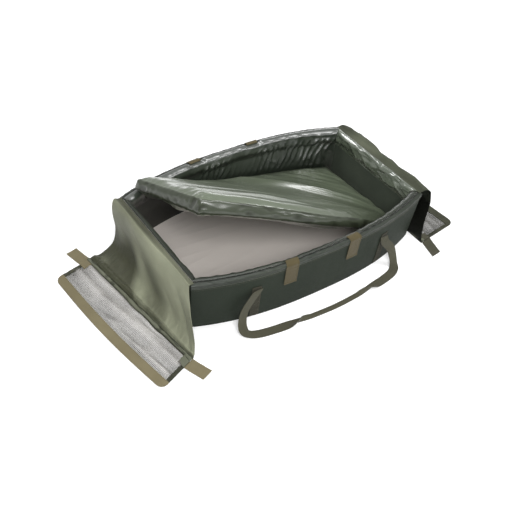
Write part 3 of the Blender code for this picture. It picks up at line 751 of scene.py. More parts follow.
    def stitches(
        self, name: str, runs: Sequence[tuple[Sequence[Vector], Vector]], stitch: Stitch = Stitch()
    ) -> Piece:
        """Make rows of raised stitches, each a short bead copied along a route.

        Args:
            name: The piece's name.
            runs: Each row's places and the way up from the cloth under it.
            stitch: One stitch.

        Returns:
            One mesh with every stitch.
        """
        vertices: list[Vector] = []
        faces: list[tuple[int, ...]] = []
        for route, up in runs:
            lengths = [0.0]
            for start, end in zip(route[:-1], route[1:]):
                lengths.append(lengths[-1] + (end - start).length)
            count = max(1, int(lengths[-1] / (stitch.length + stitch.gap)))
            for step in range(count):
                at = (step + 0.5) / count * lengths[-1]
                index = max(i for i in range(len(route) - 1) if lengths[i] <= at)
                span = lengths[index + 1] - lengths[index]
                centre = mix(route[index], route[index + 1], (at - lengths[index]) / max(span, 1e-9))
                ahead = (route[index + 1] - route[index]).normalized()
                faces.extend(tuple(len(vertices) + corner for corner in face) for face in stitch.faces)
                vertices.extend(stitch.points(centre, ahead, up))
        mesh = bpy.data.meshes.new(name)
        mesh.from_pydata(vertices, [], faces)
        mesh.update()
        piece = bpy.data.objects.new(name, mesh)
        bpy.context.scene.collection.objects.link(piece)
        self.point_outwards(piece)
        return piece

    def sew(
        self,
        name: str,
        surface: Surface,
        rows: Iterable[tuple[Spot, Spot, int]],
        lift: Vector,
        body: str = "tub",
        finish: Cloth = THREAD,
        stitch: Stitch = Stitch(),
    ) -> None:
        """Sew straight rows of stitches onto a surface.

        Args:
            name: The piece's name.
            surface: The place at u and v.
            rows: Each row's first and last u and v, and the steps between them.
            lift: The way up from the surface, as long as the thread stands above it.
            body: The body that carries them.
            finish: The thread.
            stitch: One stitch.
        """
        runs = []
        for first, last, steps in rows:
            spots = [[mix(a, b, step / steps) for a, b in zip(first, last)] for step in range(steps + 1)]
            runs.append(([surface(*spot) + lift for spot in spots], lift.normalized()))
        self.finish(self.stitches(name, runs, stitch), finish, body)


# The tub


@dataclass
class TubShape:
    """The sizes that the tub's solids have, and places on its walls."""

    length: float = 1.100
    end_width: float = 0.536
    middle_width: float = 0.711
    height: float = 0.238
    lean: float = 0.013
    bow_exponent: float = 2.546
    wall: float = 0.0258
    wall_top: float = 0.2299
    binding: float = 0.0018
    gap: float = 0.0003
    rim_rise: float = 0.006
    floor_top: float = 0.0138
    binding_bottom: float = 0.2139

    def half_width(self, along: float) -> float:
        """Return the base's half width where along runs from -1 to 1."""
        bow = (self.middle_width - self.end_width) / 2
        return self.end_width / 2 + bow * (1 - min(abs(along), 1.0) ** self.bow_exponent)

    def place(self, side: Side, along: float, height: float, inset: float) -> Vector:
        """Return a place on a wall.

        Args:
            side: The wall.
            along: From -1 to 1 along it.
            height: The height above the ground.
            inset: How far it lies inside the wall's outer face.

        Returns:
            The place.
        """
        spread = self.lean * height / self.height - inset
        length = self.length / 2 + spread
        if side.is_long:
            return Vector((along * length, side.sign * (self.half_width(along) + spread), height))
        return Vector((side.sign * length, along * (self.end_width / 2 + spread), height))

    def pushed(self, side: Side, along: float, height: float, inset: float, push: float) -> Vector:
        """Return a place on a wall, pushed out of it by a distance."""
        return self.place(side, along, height, inset) + self.outward(side, along) * push

    def outward(self, side: Side, along: float) -> Vector:
        """Return the level direction out of a wall.

        Args:
            side: The wall.
            along: From -1 to 1 along it.

        Returns:
            The direction.
        """
        if not side.is_long:
            return Vector((side.sign, 0, 0))
        step = 0.01
        ahead = self.place(side, min(along + step, 1), 0, 0) - self.place(side, max(along - step, -1), 0, 0)
        normal = Vector((ahead.y, -ahead.x, 0)).normalized()
        return normal if normal.y * side.sign > 0 else -normal


@dataclass
class Tub:
    """The padded walls, their linings, rims and the floor."""

    bench: Bench
    shape: TubShape = field(default_factory=TubShape)
    pleats: int = 34
    pleat_depth: float = 0.0125
    roll: float = 0.0085
    valley: float = 0.535
    tabs: tuple[float, ...] = (-0.170, 0.124)
    tab_half: float = 0.027
    turn: float = 0.74
    cuff_turn: float = 0.55
    shell_foot: float = 0.0022
    shell_top_gap: float = 0.001
    binding_wrap: float = 0.42
    binding_drop: float = 0.0145

    def build(self) -> None:
        """Build every piece of the tub."""
        for side in Side:
            self._shell(side)
            self._rim(side)
            self._lining(side)
        for side in (Side.LEFT, Side.RIGHT):
            self._cuff(side)
        self._floor()
        self._bottom()
        self._seams()

    def shell_push(self, side: Side, along: float, height: float) -> float:
        """Return how far a wall's cloth stands proud of its flat face.

        Args:
            side: The wall.
            along: From -1 to 1 along it.
            height: The height above the ground.

        Returns:
            The distance.
        """
        shape = self.shape
        rise = shape.wall_top - self.shell_top_gap - self.shell_foot
        v = min(max((height - self.shell_foot) / rise, 0.0), 1.0)
        reach = along * (shape.length if side.is_long else shape.end_width)
        dent = 0.0011 * wander(reach * 5.0, height * 7.0, 3.0 + side.sign)
        dent += 0.0007 * wander(reach * 16.0, height * 5.0, 7.0)
        arch = max(math.sin(math.pi * v), 0.0) ** 0.5
        edge = smooth_step(0.0, 0.06, 1 - abs(along))
        return (0.0016 + dent) * arch * edge

    def _shell(self, side: Side) -> None:
        """Build a wall's outer cloth, drawn in at its seams and softly dented over the foam.

        Args:
            side: The wall.
        """
        shape = self.shape

        def surface(u: float, v: float) -> Vector:
            """Return a place on the cloth, u along the wall and v up it."""
            along, height = mix(-1, 1, u), mix(self.shell_foot, shape.wall_top - self.shell_top_gap, v)
            return shape.pushed(side, along, height, shape.gap, self.shell_push(side, along, height))

        cut = Cut(
            f"{side.word}_shell", (220, 44) if side.is_long else (90, 40), SHELL, 0.228, 0.0012, "stretched",
            (f"{side.word}_wall_core",), (f"{side.word}_outer_panel",), offset=-1.0,
        )
        self.bench.sheet(cut, surface, shape.outward(side, 0.0))

    def _rim(self, side: Side) -> None:
        """Build a rim binding, which covers the outer half of a wall's top.

        Args:
            side: The wall.
        """
        shape = self.shape
        half = shape.wall / 2

        def surface(u: float, v: float) -> Vector:
            """Return a place on the binding.

            Args:
                u: The share along the wall.
                v: The share from its outer edge over to the crest.

            Returns:
                The place.
            """
            along = mix(-1, 1, u)
            angle = mix(-self.binding_wrap, self.valley, v) * math.pi
            reach = along * (shape.length / 2 if side.is_long else shape.end_width / 2)
            calm = smooth_step(0.0, 0.03, min(u, 1 - u))
            top = smooth_step(0.30, 0.60, v) if side.is_long else 0.0
            pucker = 0.0009 * ridged(reach * 34.0, v * 2.0, 5.0 * side.sign) * calm
            pucker += 0.0007 * wander(reach * 13.0, v * 1.5, 9.0) * calm
            pucker += 0.0022 * top * calm * ridged(reach * 26.0 + 2.0 * v, v * 3.0, 2.0 + side.sign)
            dip = 0.0016 * smooth_step(0.90, 1.0, v)
            offset = shape.gap + shape.binding + pucker * 0.8 - 0.0004 - dip
            if angle < 0:
                height = shape.wall_top + angle / (self.binding_wrap * math.pi) * self.binding_drop
                ridge = 0.0008 * (hump(v, 0.10, 0.05) - hump(v, 0.20, 0.03))
                return shape.place(side, along, height, -offset - ridge)
            height = shape.wall_top + math.sin(angle) * (shape.rim_rise + offset)
            return shape.place(side, along, height, half - math.cos(angle) * (half + offset))

        steps = (260, 30) if side.is_long else (120, 24)
        # Painted shade: the whole left rim, and every rim at its inner lip by the lining; the dark line at v
        # 0.40 is a seam.
        base = 0.45 if side is Side.LEFT else 0.0
        cut = Cut(
            f"{side.word}_rim", steps, FLAP_DARK if side is Side.RIGHT else RIM, 0.038, 0.0011, "stretched",
            (f"{side.word}_wall_core",), (f"{side.word}_rim_binding",), offset=-1.0,
        )
        self.bench.sheet(
            cut, surface, UP, lambda centre: centre.z > shape.height - 0.004,
            lambda u, v: base + 0.8 * smooth_step(0.78, 0.92, v) + 0.8 * hump(v, 0.40, 0.045),
        )

    def pressed(self, along: float) -> float:
        """Return 1 where a catch tab presses a long rim's roll flat, and 0 away from the tabs."""
        nearest = min(abs(along * self.shape.length / 2 - tab) for tab in self.tabs)
        return 1 - smooth_step(self.tab_half, self.tab_half + 0.02, nearest)

    def inside(self, side: Side, along: float, low: float, v: float, push: float, turn: float) -> Vector:
        """Return a place on a cloth that climbs a wall's inside and rolls over to its crest.

        Args:
            side: The wall.
            along: From -1 to 1 along it.
            low: The height where the cloth starts.
            v: The share up.
            push: How far the cloth stands off the wall there.
            turn: The share where it starts to roll over.

        Returns:
            The place.
        """
        shape = self.shape
        half = shape.wall / 2
        if v < turn:
            return shape.pushed(side, along, mix(low, shape.wall_top, v / turn), shape.wall, -push)
        share = (v - turn) / (1 - turn)
        angle = mix(1.0, self.valley + 0.015, share) * math.pi
        sink = 0.0022 * smooth_step(0.80, 1.0, share)
        offset = push * (1 - 0.35 * share) - sink
        height = shape.wall_top + math.sin(angle) * (shape.rim_rise + offset)
        return shape.place(side, along, height, half - math.cos(angle) * (half + offset))

    def _lining(self, side: Side) -> None:
        """Build a wall's lining, on a long wall with gathers under a shiny roll along the rim.

        Args:
            side: The wall.
        """
        shape = self.shape
        low = shape.floor_top + 0.0012

        def long_wall(u: float, v: float) -> Vector:
            """Return a place on a long wall's lining.

            Args:
                u: The share along the wall.
                v: The share up and over to the crest.

            Returns:
                The place.
            """
            along = mix(-1, 1, u)
            height = mix(low, shape.wall_top, min(v / self.turn, 1.0))
            reach = along * shape.length / 2
            calm = smooth_step(0.0, 0.025, min(u, 1 - u))
            up = (height - low) / (shape.wall_top - low)
            lean = reach + 0.105 * (1 - up) * (0.7 + 0.5 * wander(reach * 2.3, 1.0, side.sign))
            uneven = lean + 0.040 * wander(lean * 7.0, 2.0, side.sign) + 0.014 * wander(lean * 17, up * 3)
            phase = uneven * self.pleats / shape.length
            wave = 0.5 + 0.5 * math.cos(2 * math.pi * phase)
            strength = 0.30 + 1.5 * abs(wander(lean * 7.0, up * 1.3, 4.0 + side.sign))
            gather = wave ** (1.5 + 1.2 * wander(lean * 5.0, 7.0)) * min(strength, 1.0)
            crumple = ridged(lean * 13.0 + up * 2.5, up * 2.4, 15.0 + side.sign) ** 2
            gather = mix(gather, crumple, 0.12 + 0.33 * smooth_step(0.25, 0.65, along))
            gather *= smooth_step(-0.5, 0.5, wander(reach * 5.0, up * 1.5, 21.0 * side.sign) + 0.8 * along)
            lower = 0.30 + 0.42 * wander(lean * 9.0, 31.0, side.sign)
            fade = smooth_step(lower - 0.25, lower + 0.45, up) * (1 - smooth_step(0.86, 0.95, up))
            push = 0.0004 + self.pleat_depth * gather * fade * calm
            swell = self.roll * (1.35 + 0.40 * wander(reach * 9.0, 5.0, side.sign))
            swell *= 0.55 if side is Side.NEAR else 1.25
            crush = self.pressed(along) * smooth_step(self.turn, 0.90, v)
            rolled = smooth_step(0.70, 0.92, up)
            pinch = 0.0030 * ridged(reach * 17.0, up * 3.0, 8.0) * smooth_step(0.7, 0.86, up)
            pinch *= 1 - 0.6 * smooth_step(0.80, 1.0, v)
            push += swell * rolled * (1 - 0.82 * crush) + pinch * (1 - crush) * calm
            push += 0.0016 * (0.5 + 0.5 * wander(reach * 4.0, up * 3.0, 11.0)) * calm * (1 - rolled)
            return self.inside(side, along, low, v, push, self.turn)

        def hollow(u: float, v: float) -> float:
            """Return the painted shade in the valleys between the gathers, in the far wall's left corner and
            along the foot.

            Args:
                u: The share along the wall.
                v: The share up and over to the crest.

            Returns:
                The darkness.
            """
            up = min(v / self.turn, 1.0)
            here = long_wall(u, v)
            stands = here - shape.place(side, mix(-1, 1, u), 0, shape.wall)
            depth = 0.65 * (1 - smooth_step(0.001, 0.008, stands.xy.length))
            if side is Side.FAR:
                depth += 0.85 * (1 - smooth_step(0.12, 0.34, u))
            return depth * (1 - smooth_step(0.86, 0.96, up)) + 0.3 * (here.z < low + 0.004)

        def end_wall(u: float, v: float) -> Vector:
            """Return a place on an end wall's lining.

            Args:
                u: The share along the wall.
                v: The share up.

            Returns:
                The place.
            """
            along = mix(-1, 1, u)
            height = mix(low, shape.wall_top - 0.004, v)
            reach = along * shape.end_width / 2
            push = 0.0010 * (0.5 + 0.5 * wander(reach * 6.0, height * 9.0, 2.0 * side.sign))
            push = 0.0004 + push * smooth_step(0.0, 0.02, min(u, 1 - u))
            return shape.pushed(side, along, height, shape.wall, -push)

        steps = (500, 92) if side.is_long else (90, 50)
        surface, amount = (long_wall, hollow) if side.is_long else (end_wall, None)
        held, width = ("gathered", 0.240) if side.is_long else ("stretched", 0.214)
        finish = {Side.FAR: LINING, Side.NEAR: NEAR_LINING}.get(side, END_LINING)
        cut = Cut(
            f"{side.word}_lining_cloth", steps, finish, width, 0.0009, held,
            (f"{side.word}_wall_core",), (f"{side.word}_lining",), offset=-1.0, sharp_from=80.0,
        )
        inward = -shape.outward(side, 0.0)
        self.bench.sheet(cut, surface, inward, lambda centre: centre.z < 0.2, amount)

    def _cuff(self, side: Side) -> None:
        """Build the crumpled cuff that rolls over the inside of an end wall, glossy on the right.

        Args:
            side: The wall.
        """
        shape = self.shape
        # On the left the cuff is matt and darkened all over with painted shade.
        if side is Side.RIGHT:
            finish, darkness, drop, depth = CUFF, 0.0, 0.046, 0.0110
        else:
            finish, darkness, drop, depth = END_LINING, 0.70, 0.034, 0.0030

        def surface(u: float, v: float) -> Vector:
            """Return a place on the cuff.

            Args:
                u: The share along the wall.
                v: The share up and over to the crest.

            Returns:
                The place.
            """
            along = mix(-1, 1, u)
            reach = along * shape.end_width / 2
            calm = smooth_step(0.0, 0.035, min(u, 1 - u))
            low = shape.binding_bottom - drop - 0.0050 * wander(reach * 9.0, 1.0, side.sign) * calm
            up = min(v / self.cuff_turn, 1.0)
            push = 0.0014 + self.roll * smooth_step(0.0, 0.55, up) * (1.05 + 0.30 * wander(reach * 6, 3.0))
            crumple = ridged(reach * 6.0 + up * 1.4, v * 1.6, 3.0 + side.sign) - 0.35
            crumple += 0.30 * (ridged(reach * 14.0 - up, v * 2.4, 9.0) - 0.35)
            push += depth * crumple * calm * smooth_step(0.0, 0.25, v) * (1 - 0.5 * smooth_step(0.8, 1, v))
            push += 0.0010 * wander(reach * 22.0, v * 4.0, 6.0) * calm
            return self.inside(side, along, low, v, max(push, 0.0012), self.cuff_turn)

        cut = Cut(
            f"{side.word}_cuff_cloth", (300, 60), finish, 0.085, 0.0009, "gathered",
            (f"{side.word}_wall_core",), (f"{side.word}_cuff",), offset=-1.0, sharp_from=80.0,
        )
        inward = -shape.outward(side, 0.0)
        self.bench.sheet(cut, surface, inward, lambda centre: centre.z < 0.215, lambda u, v: darkness)

    def _level(self, u: float, v: float, height: float, inset: float) -> Vector:
        """Return a place on a level cloth, u along the tub and v from its near to its far wall."""
        near, far = (self.shape.place(side, 2 * u - 1, height, inset) for side in (Side.NEAR, Side.FAR))
        return mix(near, far, v)

    def _floor(self) -> None:
        """Build the floor cloth with the faint creases that run along it."""
        shape = self.shape

        def surface(u: float, v: float) -> Vector:
            """Return a place on the floor.

            Args:
                u: The share along the tub.
                v: The share from the near to the far wall.

            Returns:
                The place.
            """
            place = self._level(u, v, shape.floor_top, shape.wall + shape.gap + 0.0006)
            edge = smooth_step(0.0, 0.04, min(u, 1 - u, v, 1 - v))
            crease = 0.0009 * ridged(place.x * 1.6, place.y * 13.0, 1.0) ** 4
            crease += 0.0006 * wander(place.x * 6.0, place.y * 8.0, 2.0)
            place.z += (crease - 0.0004) * edge
            return place

        cut = Cut(
            "floor_cloth", (240, 150), FLOOR, 0.660, 0.0011, "laid", ("base_core",), ("floor_panel",),
            offset=-1.0,
        )
        self.bench.sheet(cut, surface, UP)

    def _bottom(self) -> None:
        """Build the cloth under the tub."""
        cut = Cut(
            "bottom_cloth", (120, 60), SHELL, 0.700, 0.0013, "stretched", ("base_core",), ("bottom_panel",)
        )
        self.bench.sheet(cut, lambda u, v: self._level(u, v, 0.0008, 0.0), -UP)

    def _seams(self) -> None:
        """Build the top stitching along the outer edge of the long rims."""
        shape = self.shape
        for side in (Side.NEAR, Side.FAR):
            runs = []
            for above_edge, out in ((0.0030, 0.0034), (-0.0060, 0.0017)):
                height = shape.binding_bottom + above_edge
                alongs = [mix(-0.98, 0.98, step / 160) for step in range(161)]
                route = [shape.place(side, along, height, -out) for along in alongs]
                runs.append((route, shape.outward(side, 0.0)))
            self.bench.finish(self.bench.stitches(f"{side.word}_rim_stitching", runs), THREAD, "tub")


# Webbing on the walls


@dataclass
class WallWebbing:
    """The catch tabs, handle anchors and carrying handles of both long walls."""

    bench: Bench
    tub: Tub
    tab_width: float = 0.054
    tab_bottom: float = 0.135
    tab_turn: float = 0.78
    stitch_lift: float = 0.0011
    width: float = 0.038
    thickness: float = 0.0025
    webbing: float = 0.002
    attach_x: float = 0.310
    attach_height: float = 0.155
    anchor_span: Spot = (0.004, 0.167)
    left_widest: float = 0.393
    right_widest: float = 0.363
    reach: float = 0.106
    grip: float = 0.110
    grip_fade: float = 0.130
    route_shares: tuple[tuple[float, float, float, float], ...] = (
        (0.870, 0.06, 0.83, 0.0),
        (0.957, 0.13, 0.58, 0.0),
        (0.997, 0.22, 0.30, 0.1),
        (1.000, 0.36, 0.09, 0.5),
        (0.972, 0.52, 0.014, 1.0),
        (0.905, 0.66, 0.00, 1.0),
        (0.800, 0.76, 0.00, 1.0),
        (0.650, 0.84, 0.00, 1.0),
        (0.450, 0.91, 0.00, 1.0),
        (0.220, 0.97, 0.00, 1.0),
        (0.000, 1.00, 0.00, 1.0),
    )

    def build(self) -> None:
        """Build the webbing of both long walls."""
        for side in (Side.NEAR, Side.FAR):
            for end, centre in zip(("left", "right"), self.tub.tabs):
                self._catch_tab(side, end, centre)
            for end, sign in (("left", -1), ("right", 1)):
                self._anchor(side, end, sign)
            self._handle(side)

    def _catch_tab(self, side: Side, end: str, centre: float) -> None:
        """Build a tab of webbing that hangs over the rim, with a hem and stitched edges.

        Args:
            side: The wall.
            end: The end of the tub that it is nearer to.
            centre: Its place along the tub.
        """
        shape = self.tub.shape
        half = shape.wall / 2
        straight = shape.wall_top - self.tab_bottom

        def path(v: float, lift: float) -> tuple[float, float]:
            """Return a place on the way up the wall and over the rim.

            Args:
                v: The share of the way.
                lift: How far off that way it lies.

            Returns:
                Its inset and its height.
            """
            if v < self.tab_turn:
                height = mix(self.tab_bottom, shape.wall_top, v / self.tab_turn)
                near_rim = smooth_step(0.70, 1.0, (height - self.tab_bottom) / straight)
                return -mix(0.0030, 0.0042, near_rim) - lift, height
            angle = (v - self.tab_turn) / (1 - self.tab_turn) * math.pi * 0.66
            offset = 0.0042 + lift
            height = shape.wall_top + math.sin(angle) * (shape.rim_rise + offset)
            return half - math.cos(angle) * (half + offset), height

        def surface(u: float, v: float) -> Vector:
            """Return a place on the tab.

            Args:
                u: The share of its width.
                v: The share of its length, from its lower end.

            Returns:
                The place.
            """
            along = (centre + (u - 0.5) * self.tab_width) / (shape.length / 2)
            hem = 0.0013 * smooth_step(0.92, 0.94, u) + 0.0013 * (1 - smooth_step(0.05, 0.07, v))
            curl = 0.0010 * hump(u, 0.5, 0.5) + 0.0005 * wander(u * 3, v * 6, centre * 40)
            inset, height = path(v, hem + curl)
            push = self.tub.shell_push(side, along, min(height, 0.215)) if height < 0.215 else 0.0
            return shape.pushed(side, along, height, inset, push)

        out = shape.outward(side, 0.0)
        cut = Cut(
            f"{side.word}_{end}_catch_webbing", (30, 70), WEBBING_DARK, self.tab_width, self.webbing,
            "draped", (f"{side.word}_rim",), (f"{side.word}_{end}_catch_tab",),
        )
        self.bench.sheet(cut, surface, out, lambda middle: middle.z < 0.2)
        rows = [((share, 0.05), (share, 0.75), 28) for share in (0.86, 0.97)]
        rows.append(((0.0, 0.075), (1.0, 0.075), 12))
        self.bench.sew(f"{side.word}_{end}_catch_stitching", surface, rows, out * self.stitch_lift)

    def _anchor(self, side: Side, end: str, sign: int) -> None:
        """Build the strip that runs down the wall under a handle's end, with its stitching.

        Args:
            side: The wall.
            end: The end of the tub that it is nearer to.
            sign: That end's sign along the tub.
        """
        shape = self.tub.shape
        centre = sign * self.attach_x
        out = shape.outward(side, centre / (shape.length / 2))

        def surface(u: float, v: float) -> Vector:
            """Return a place on the strip, u across it and v up it."""
            spot = side, (centre + (u - 0.5) * self.width) / (shape.length / 2), mix(*self.anchor_span, v)
            return shape.pushed(*spot, 0, self.tub.shell_push(*spot) + 0.0012)

        cut = Cut(
            f"{side.word}_{end}_anchor_webbing", (16, 60), ANCHOR, self.width, self.webbing - 0.0002,
            "stretched", (f"{side.word}_shell",), (f"{side.word}_{end}_handle_anchor",),
        )
        self.bench.sheet(cut, surface, out)
        left, right = 0.08, 0.92
        rows = [((share, 0.025), (share, 0.975), 38) for share in (left, right)]
        for low, high in ((0.02, 0.20), (0.30, 0.48)):
            rows.append(((left, low), (right, high), 8))
            rows.append(((right, low), (left, high), 8))
            rows.append(((left, high), (right, high), 8))
        self.bench.sew(f"{side.word}_{end}_anchor_stitching", surface, rows, out * self.stitch_lift)

    def _handle(self, side: Side) -> None:
        """Build a carrying handle: webbing that lies on the ground and is folded double at its grip.

        Args:
            side: The wall that carries it.
        """
        shape = self.tub.shape
        inboard = (self.attach_x - self.width / 2) / (shape.length / 2)
        start_y = shape.place(side, inboard, self.attach_height, -0.0058).y
        outward = Vector((0, side.sign, 0))

        def half(sign: int, widest: float) -> list[tuple[Vector, float]]:
            """Return the stations of half a handle.

            Args:
                sign: The sign of its end along the tub.
                widest: How far along the tub it reaches.

            Returns:
                Each station's place and how flat the webbing lies there, from its sewn end on.
            """
            stations = [(Vector((sign * self.attach_x, start_y, self.attach_height)), 0.0)]
            for width_share, reach_share, height_share, flat_share in self.route_shares:
                height = mix(self.thickness / 2 + 0.0004, self.attach_height, height_share)
                y = start_y + side.sign * self.reach * reach_share
                stations.append((Vector((sign * widest * width_share, y, height)), flat_share))
            return stations

        stations = half(-1, self.left_widest) + half(1, self.right_widest)[-2::-1]
        places = [place for place, flat in stations]
        facings = [mix(outward, UP, flat) for place, flat in stations]
        square_end = 1 / (len(stations) - 1)

        def surface(u: float, v: float) -> Vector:
            """Return a place on the handle.

            Args:
                u: The share of its width.
                v: The share of its length.

            Returns:
                The place.
            """
            place = on_route(places, v)
            heading = on_route(places, v + 0.0114) - on_route(places, v - 0.0114)
            facing = on_route(facings, v).normalized()
            sideways = heading.cross(facing).normalized()
            squareness = max(0.0, 1 - min(v, 1 - v) / square_end)
            towards = Vector((1, 0, 0)) if sideways.x > 0 else Vector((-1, 0, 0))
            sideways = mix(sideways, towards, squareness).normalized()
            above = sideways.cross(heading).normalized()
            if above.dot(facing) < 0:
                above = -above
            fold = 1 - smooth_step(self.grip, self.grip + self.grip_fade, abs(place.x))
            if place.z > self.width:
                fold = 0.0
            offset = (u - 0.5) * self.width
            angle = fold * math.pi * 0.985
            wave = 0.0012 * (0.5 + 0.5 * wander(place.x * 22, side.sign * 3.0, 1.0)) * (1 - squareness)
            if offset > 0:
                aside = offset * math.cos(angle)
                lift = offset * math.sin(angle) + fold * (self.thickness + 0.0006)
            else:
                aside, lift = offset, 0.0
            shift = fold * self.width / 4
            return place + sideways * (aside + shift) + above * (lift + wave)

        cut = Cut(
            f"{side.word}_handle_webbing", (12, 460), HANDLE, self.width, self.thickness - 0.0003, "laid",
            (f"{side.word}_left_anchor_webbing",), (f"{side.word}_handle",), f"{side.word}_handle",
        )
        self.bench.sheet(cut, surface, outward, lambda centre: centre.z > 0.08)


# Flaps


def between(shares: Shares, xs: Spot, ys: Spot, zs: Spot) -> list[Vector]:
    """Return the places at the shares between two values along each axis."""
    return [Vector((mix(*xs, out), mix(*ys, aside), mix(*zs, up))) for out, aside, up in shares]


@dataclass
class FlapSizes:
    """The sizes that both flaps share with their solids."""

    thickness: float = 0.0012
    root_width: float = 0.556
    hinge_x: float = 0.5501
    hinge_height: float = 0.2389
    rim_edge_x: float = 0.5651
    fold_depth: float = 0.006
    lying: float = 0.0006
    cloth_width: float = 0.60


@dataclass
class LeftFlap:
    """The left flap's fabric, from the rim to its seam on the ground."""

    bench: Bench
    sizes: FlapSizes = field(default_factory=FlapSizes)
    far_reach: float = 0.145
    near_reach: float = 0.056
    seam_far_y: float = 0.252
    seam_near_y: float = -0.405
    far_shares: Shares = (
        (0.00, 0.0, 1.000), (0.13, 0.0, 1.018), (0.20, 0.1, 0.930), (0.20, 0.2, 0.740),
        (0.15, 0.3, 0.420), (0.26, 0.6, 0.140), (0.62, 0.9, 0.028), (1.00, 1.0, 0.000),
    )
    near_shares: Shares = (
        (0.00, 0.00, 1.000), (0.14, 0.02, 0.990), (0.28, 0.12, 0.860), (0.36, 0.25, 0.720),
        (0.42, 0.48, 0.480), (0.52, 0.75, 0.210), (0.75, 0.92, 0.060), (1.00, 1.00, 0.000),
    )

    def build(self) -> None:
        """Build the fabric with its soft folds and the puckers at its seam."""
        sizes = self.sizes
        half = sizes.root_width / 2
        far, near = (
            [Vector((-sizes.hinge_x, root_y, sizes.hinge_height))] + between(
                shares, (-sizes.rim_edge_x, sizes.lying + 0.0003 - sizes.rim_edge_x - reach),
                (root_y, seam_y), (sizes.lying, sizes.hinge_height),
            )
            for shares, reach, root_y, seam_y in (
                (self.far_shares, self.far_reach, half, self.seam_far_y),
                (self.near_shares, self.near_reach, -half, self.seam_near_y),
            )
        )

        def surface(u: float, v: float) -> Vector:
            """Return a place on the fabric.

            Args:
                u: The share from its far to its near edge.
                v: The share from the rim to the seam.

            Returns:
                The place.
            """
            place = mix(on_route(far, v), on_route(near, v), u)
            fade = math.sin(math.pi * v) ** 2
            fold = self.sizes.fold_depth * fade * math.sin(3 * math.pi * u)
            fold += 0.0090 * fade * wander(u * 2.2 + v * 0.8, v * 2.0, 3.0)
            fold += 0.0030 * fade * wander(u * 6.0, v * 4.0, 8.0)
            crease = ridged(u * 4.6 - v * 1.5, v * 1.6, 2.0) - 0.45
            fold += 0.0070 * crease * smooth_step(0.36, 0.72, v) * (1 - smooth_step(0.84, 0.95, v))
            gather = smooth_step(0.62, 0.97, v) * (1 - smooth_step(0.985, 1.0, v))
            ripple = 0.0075 * gather * (ridged(u * 11.0 + v * 1.5, v * 2.4, 2.0) - 0.30)
            ripple += 0.0022 * gather * (ridged(u * 31.0, v * 3.0, 5.0) - 0.3)
            roll = 0.009 * hump(v, 0.95, 0.022) * (0.8 + 0.5 * wander(u * 4.0, 2.0, 6.0))
            place.x += fold * (1 - 0.6 * smooth_step(0.7, 1.0, v)) - ripple * 0.3
            place.z += max(ripple, -0.0002) * 1.2 + roll
            place.z += 0.35 * max(fold, 0.0) * smooth_step(0.6, 0.9, v)
            return place

        def damp(u: float, v: float) -> float:
            """Return the painted shade where the cloth folds onto the ground, in its creases, by the rim,
            towards its far edge and at the seam.

            Args:
                u: The share from its far to its near edge.
                v: The share from the rim to the seam.

            Returns:
                The darkness.
            """
            patches = 0.75 + 1.3 * wander(u * 5.0 - v * 2.0, v * 3.2, 14.0)
            low = smooth_step(0.42, 0.78, v) * (1 - 0.72 * smooth_step(0.40, 0.85, u))
            valley = 1 - smooth_step(0.15, 0.55, ridged(u * 4.6 - v * 1.5, v * 1.6, 2.0))
            top = 0.80 * (1 - smooth_step(0.10, 0.30, v)) + 0.45 * (1 - smooth_step(0.10, 0.72, u))
            seam = 0.40 * smooth_step(0.90, 0.97, v)
            return 0.85 * low * patches + 0.16 * valley * smooth_step(0.3, 0.6, v) + top + seam

        cut = Cut(
            "left_flap_cloth", (230, 210), FLAP, self.sizes.cloth_width, self.sizes.thickness, "hung",
            ("left_rim",), ("left_flap_fabric",), "left_flap", sharp_from=80.0, backing=BACKING,
        )
        self.bench.sheet(cut, surface, Vector((-1, 0, 0.3)), amount=damp)


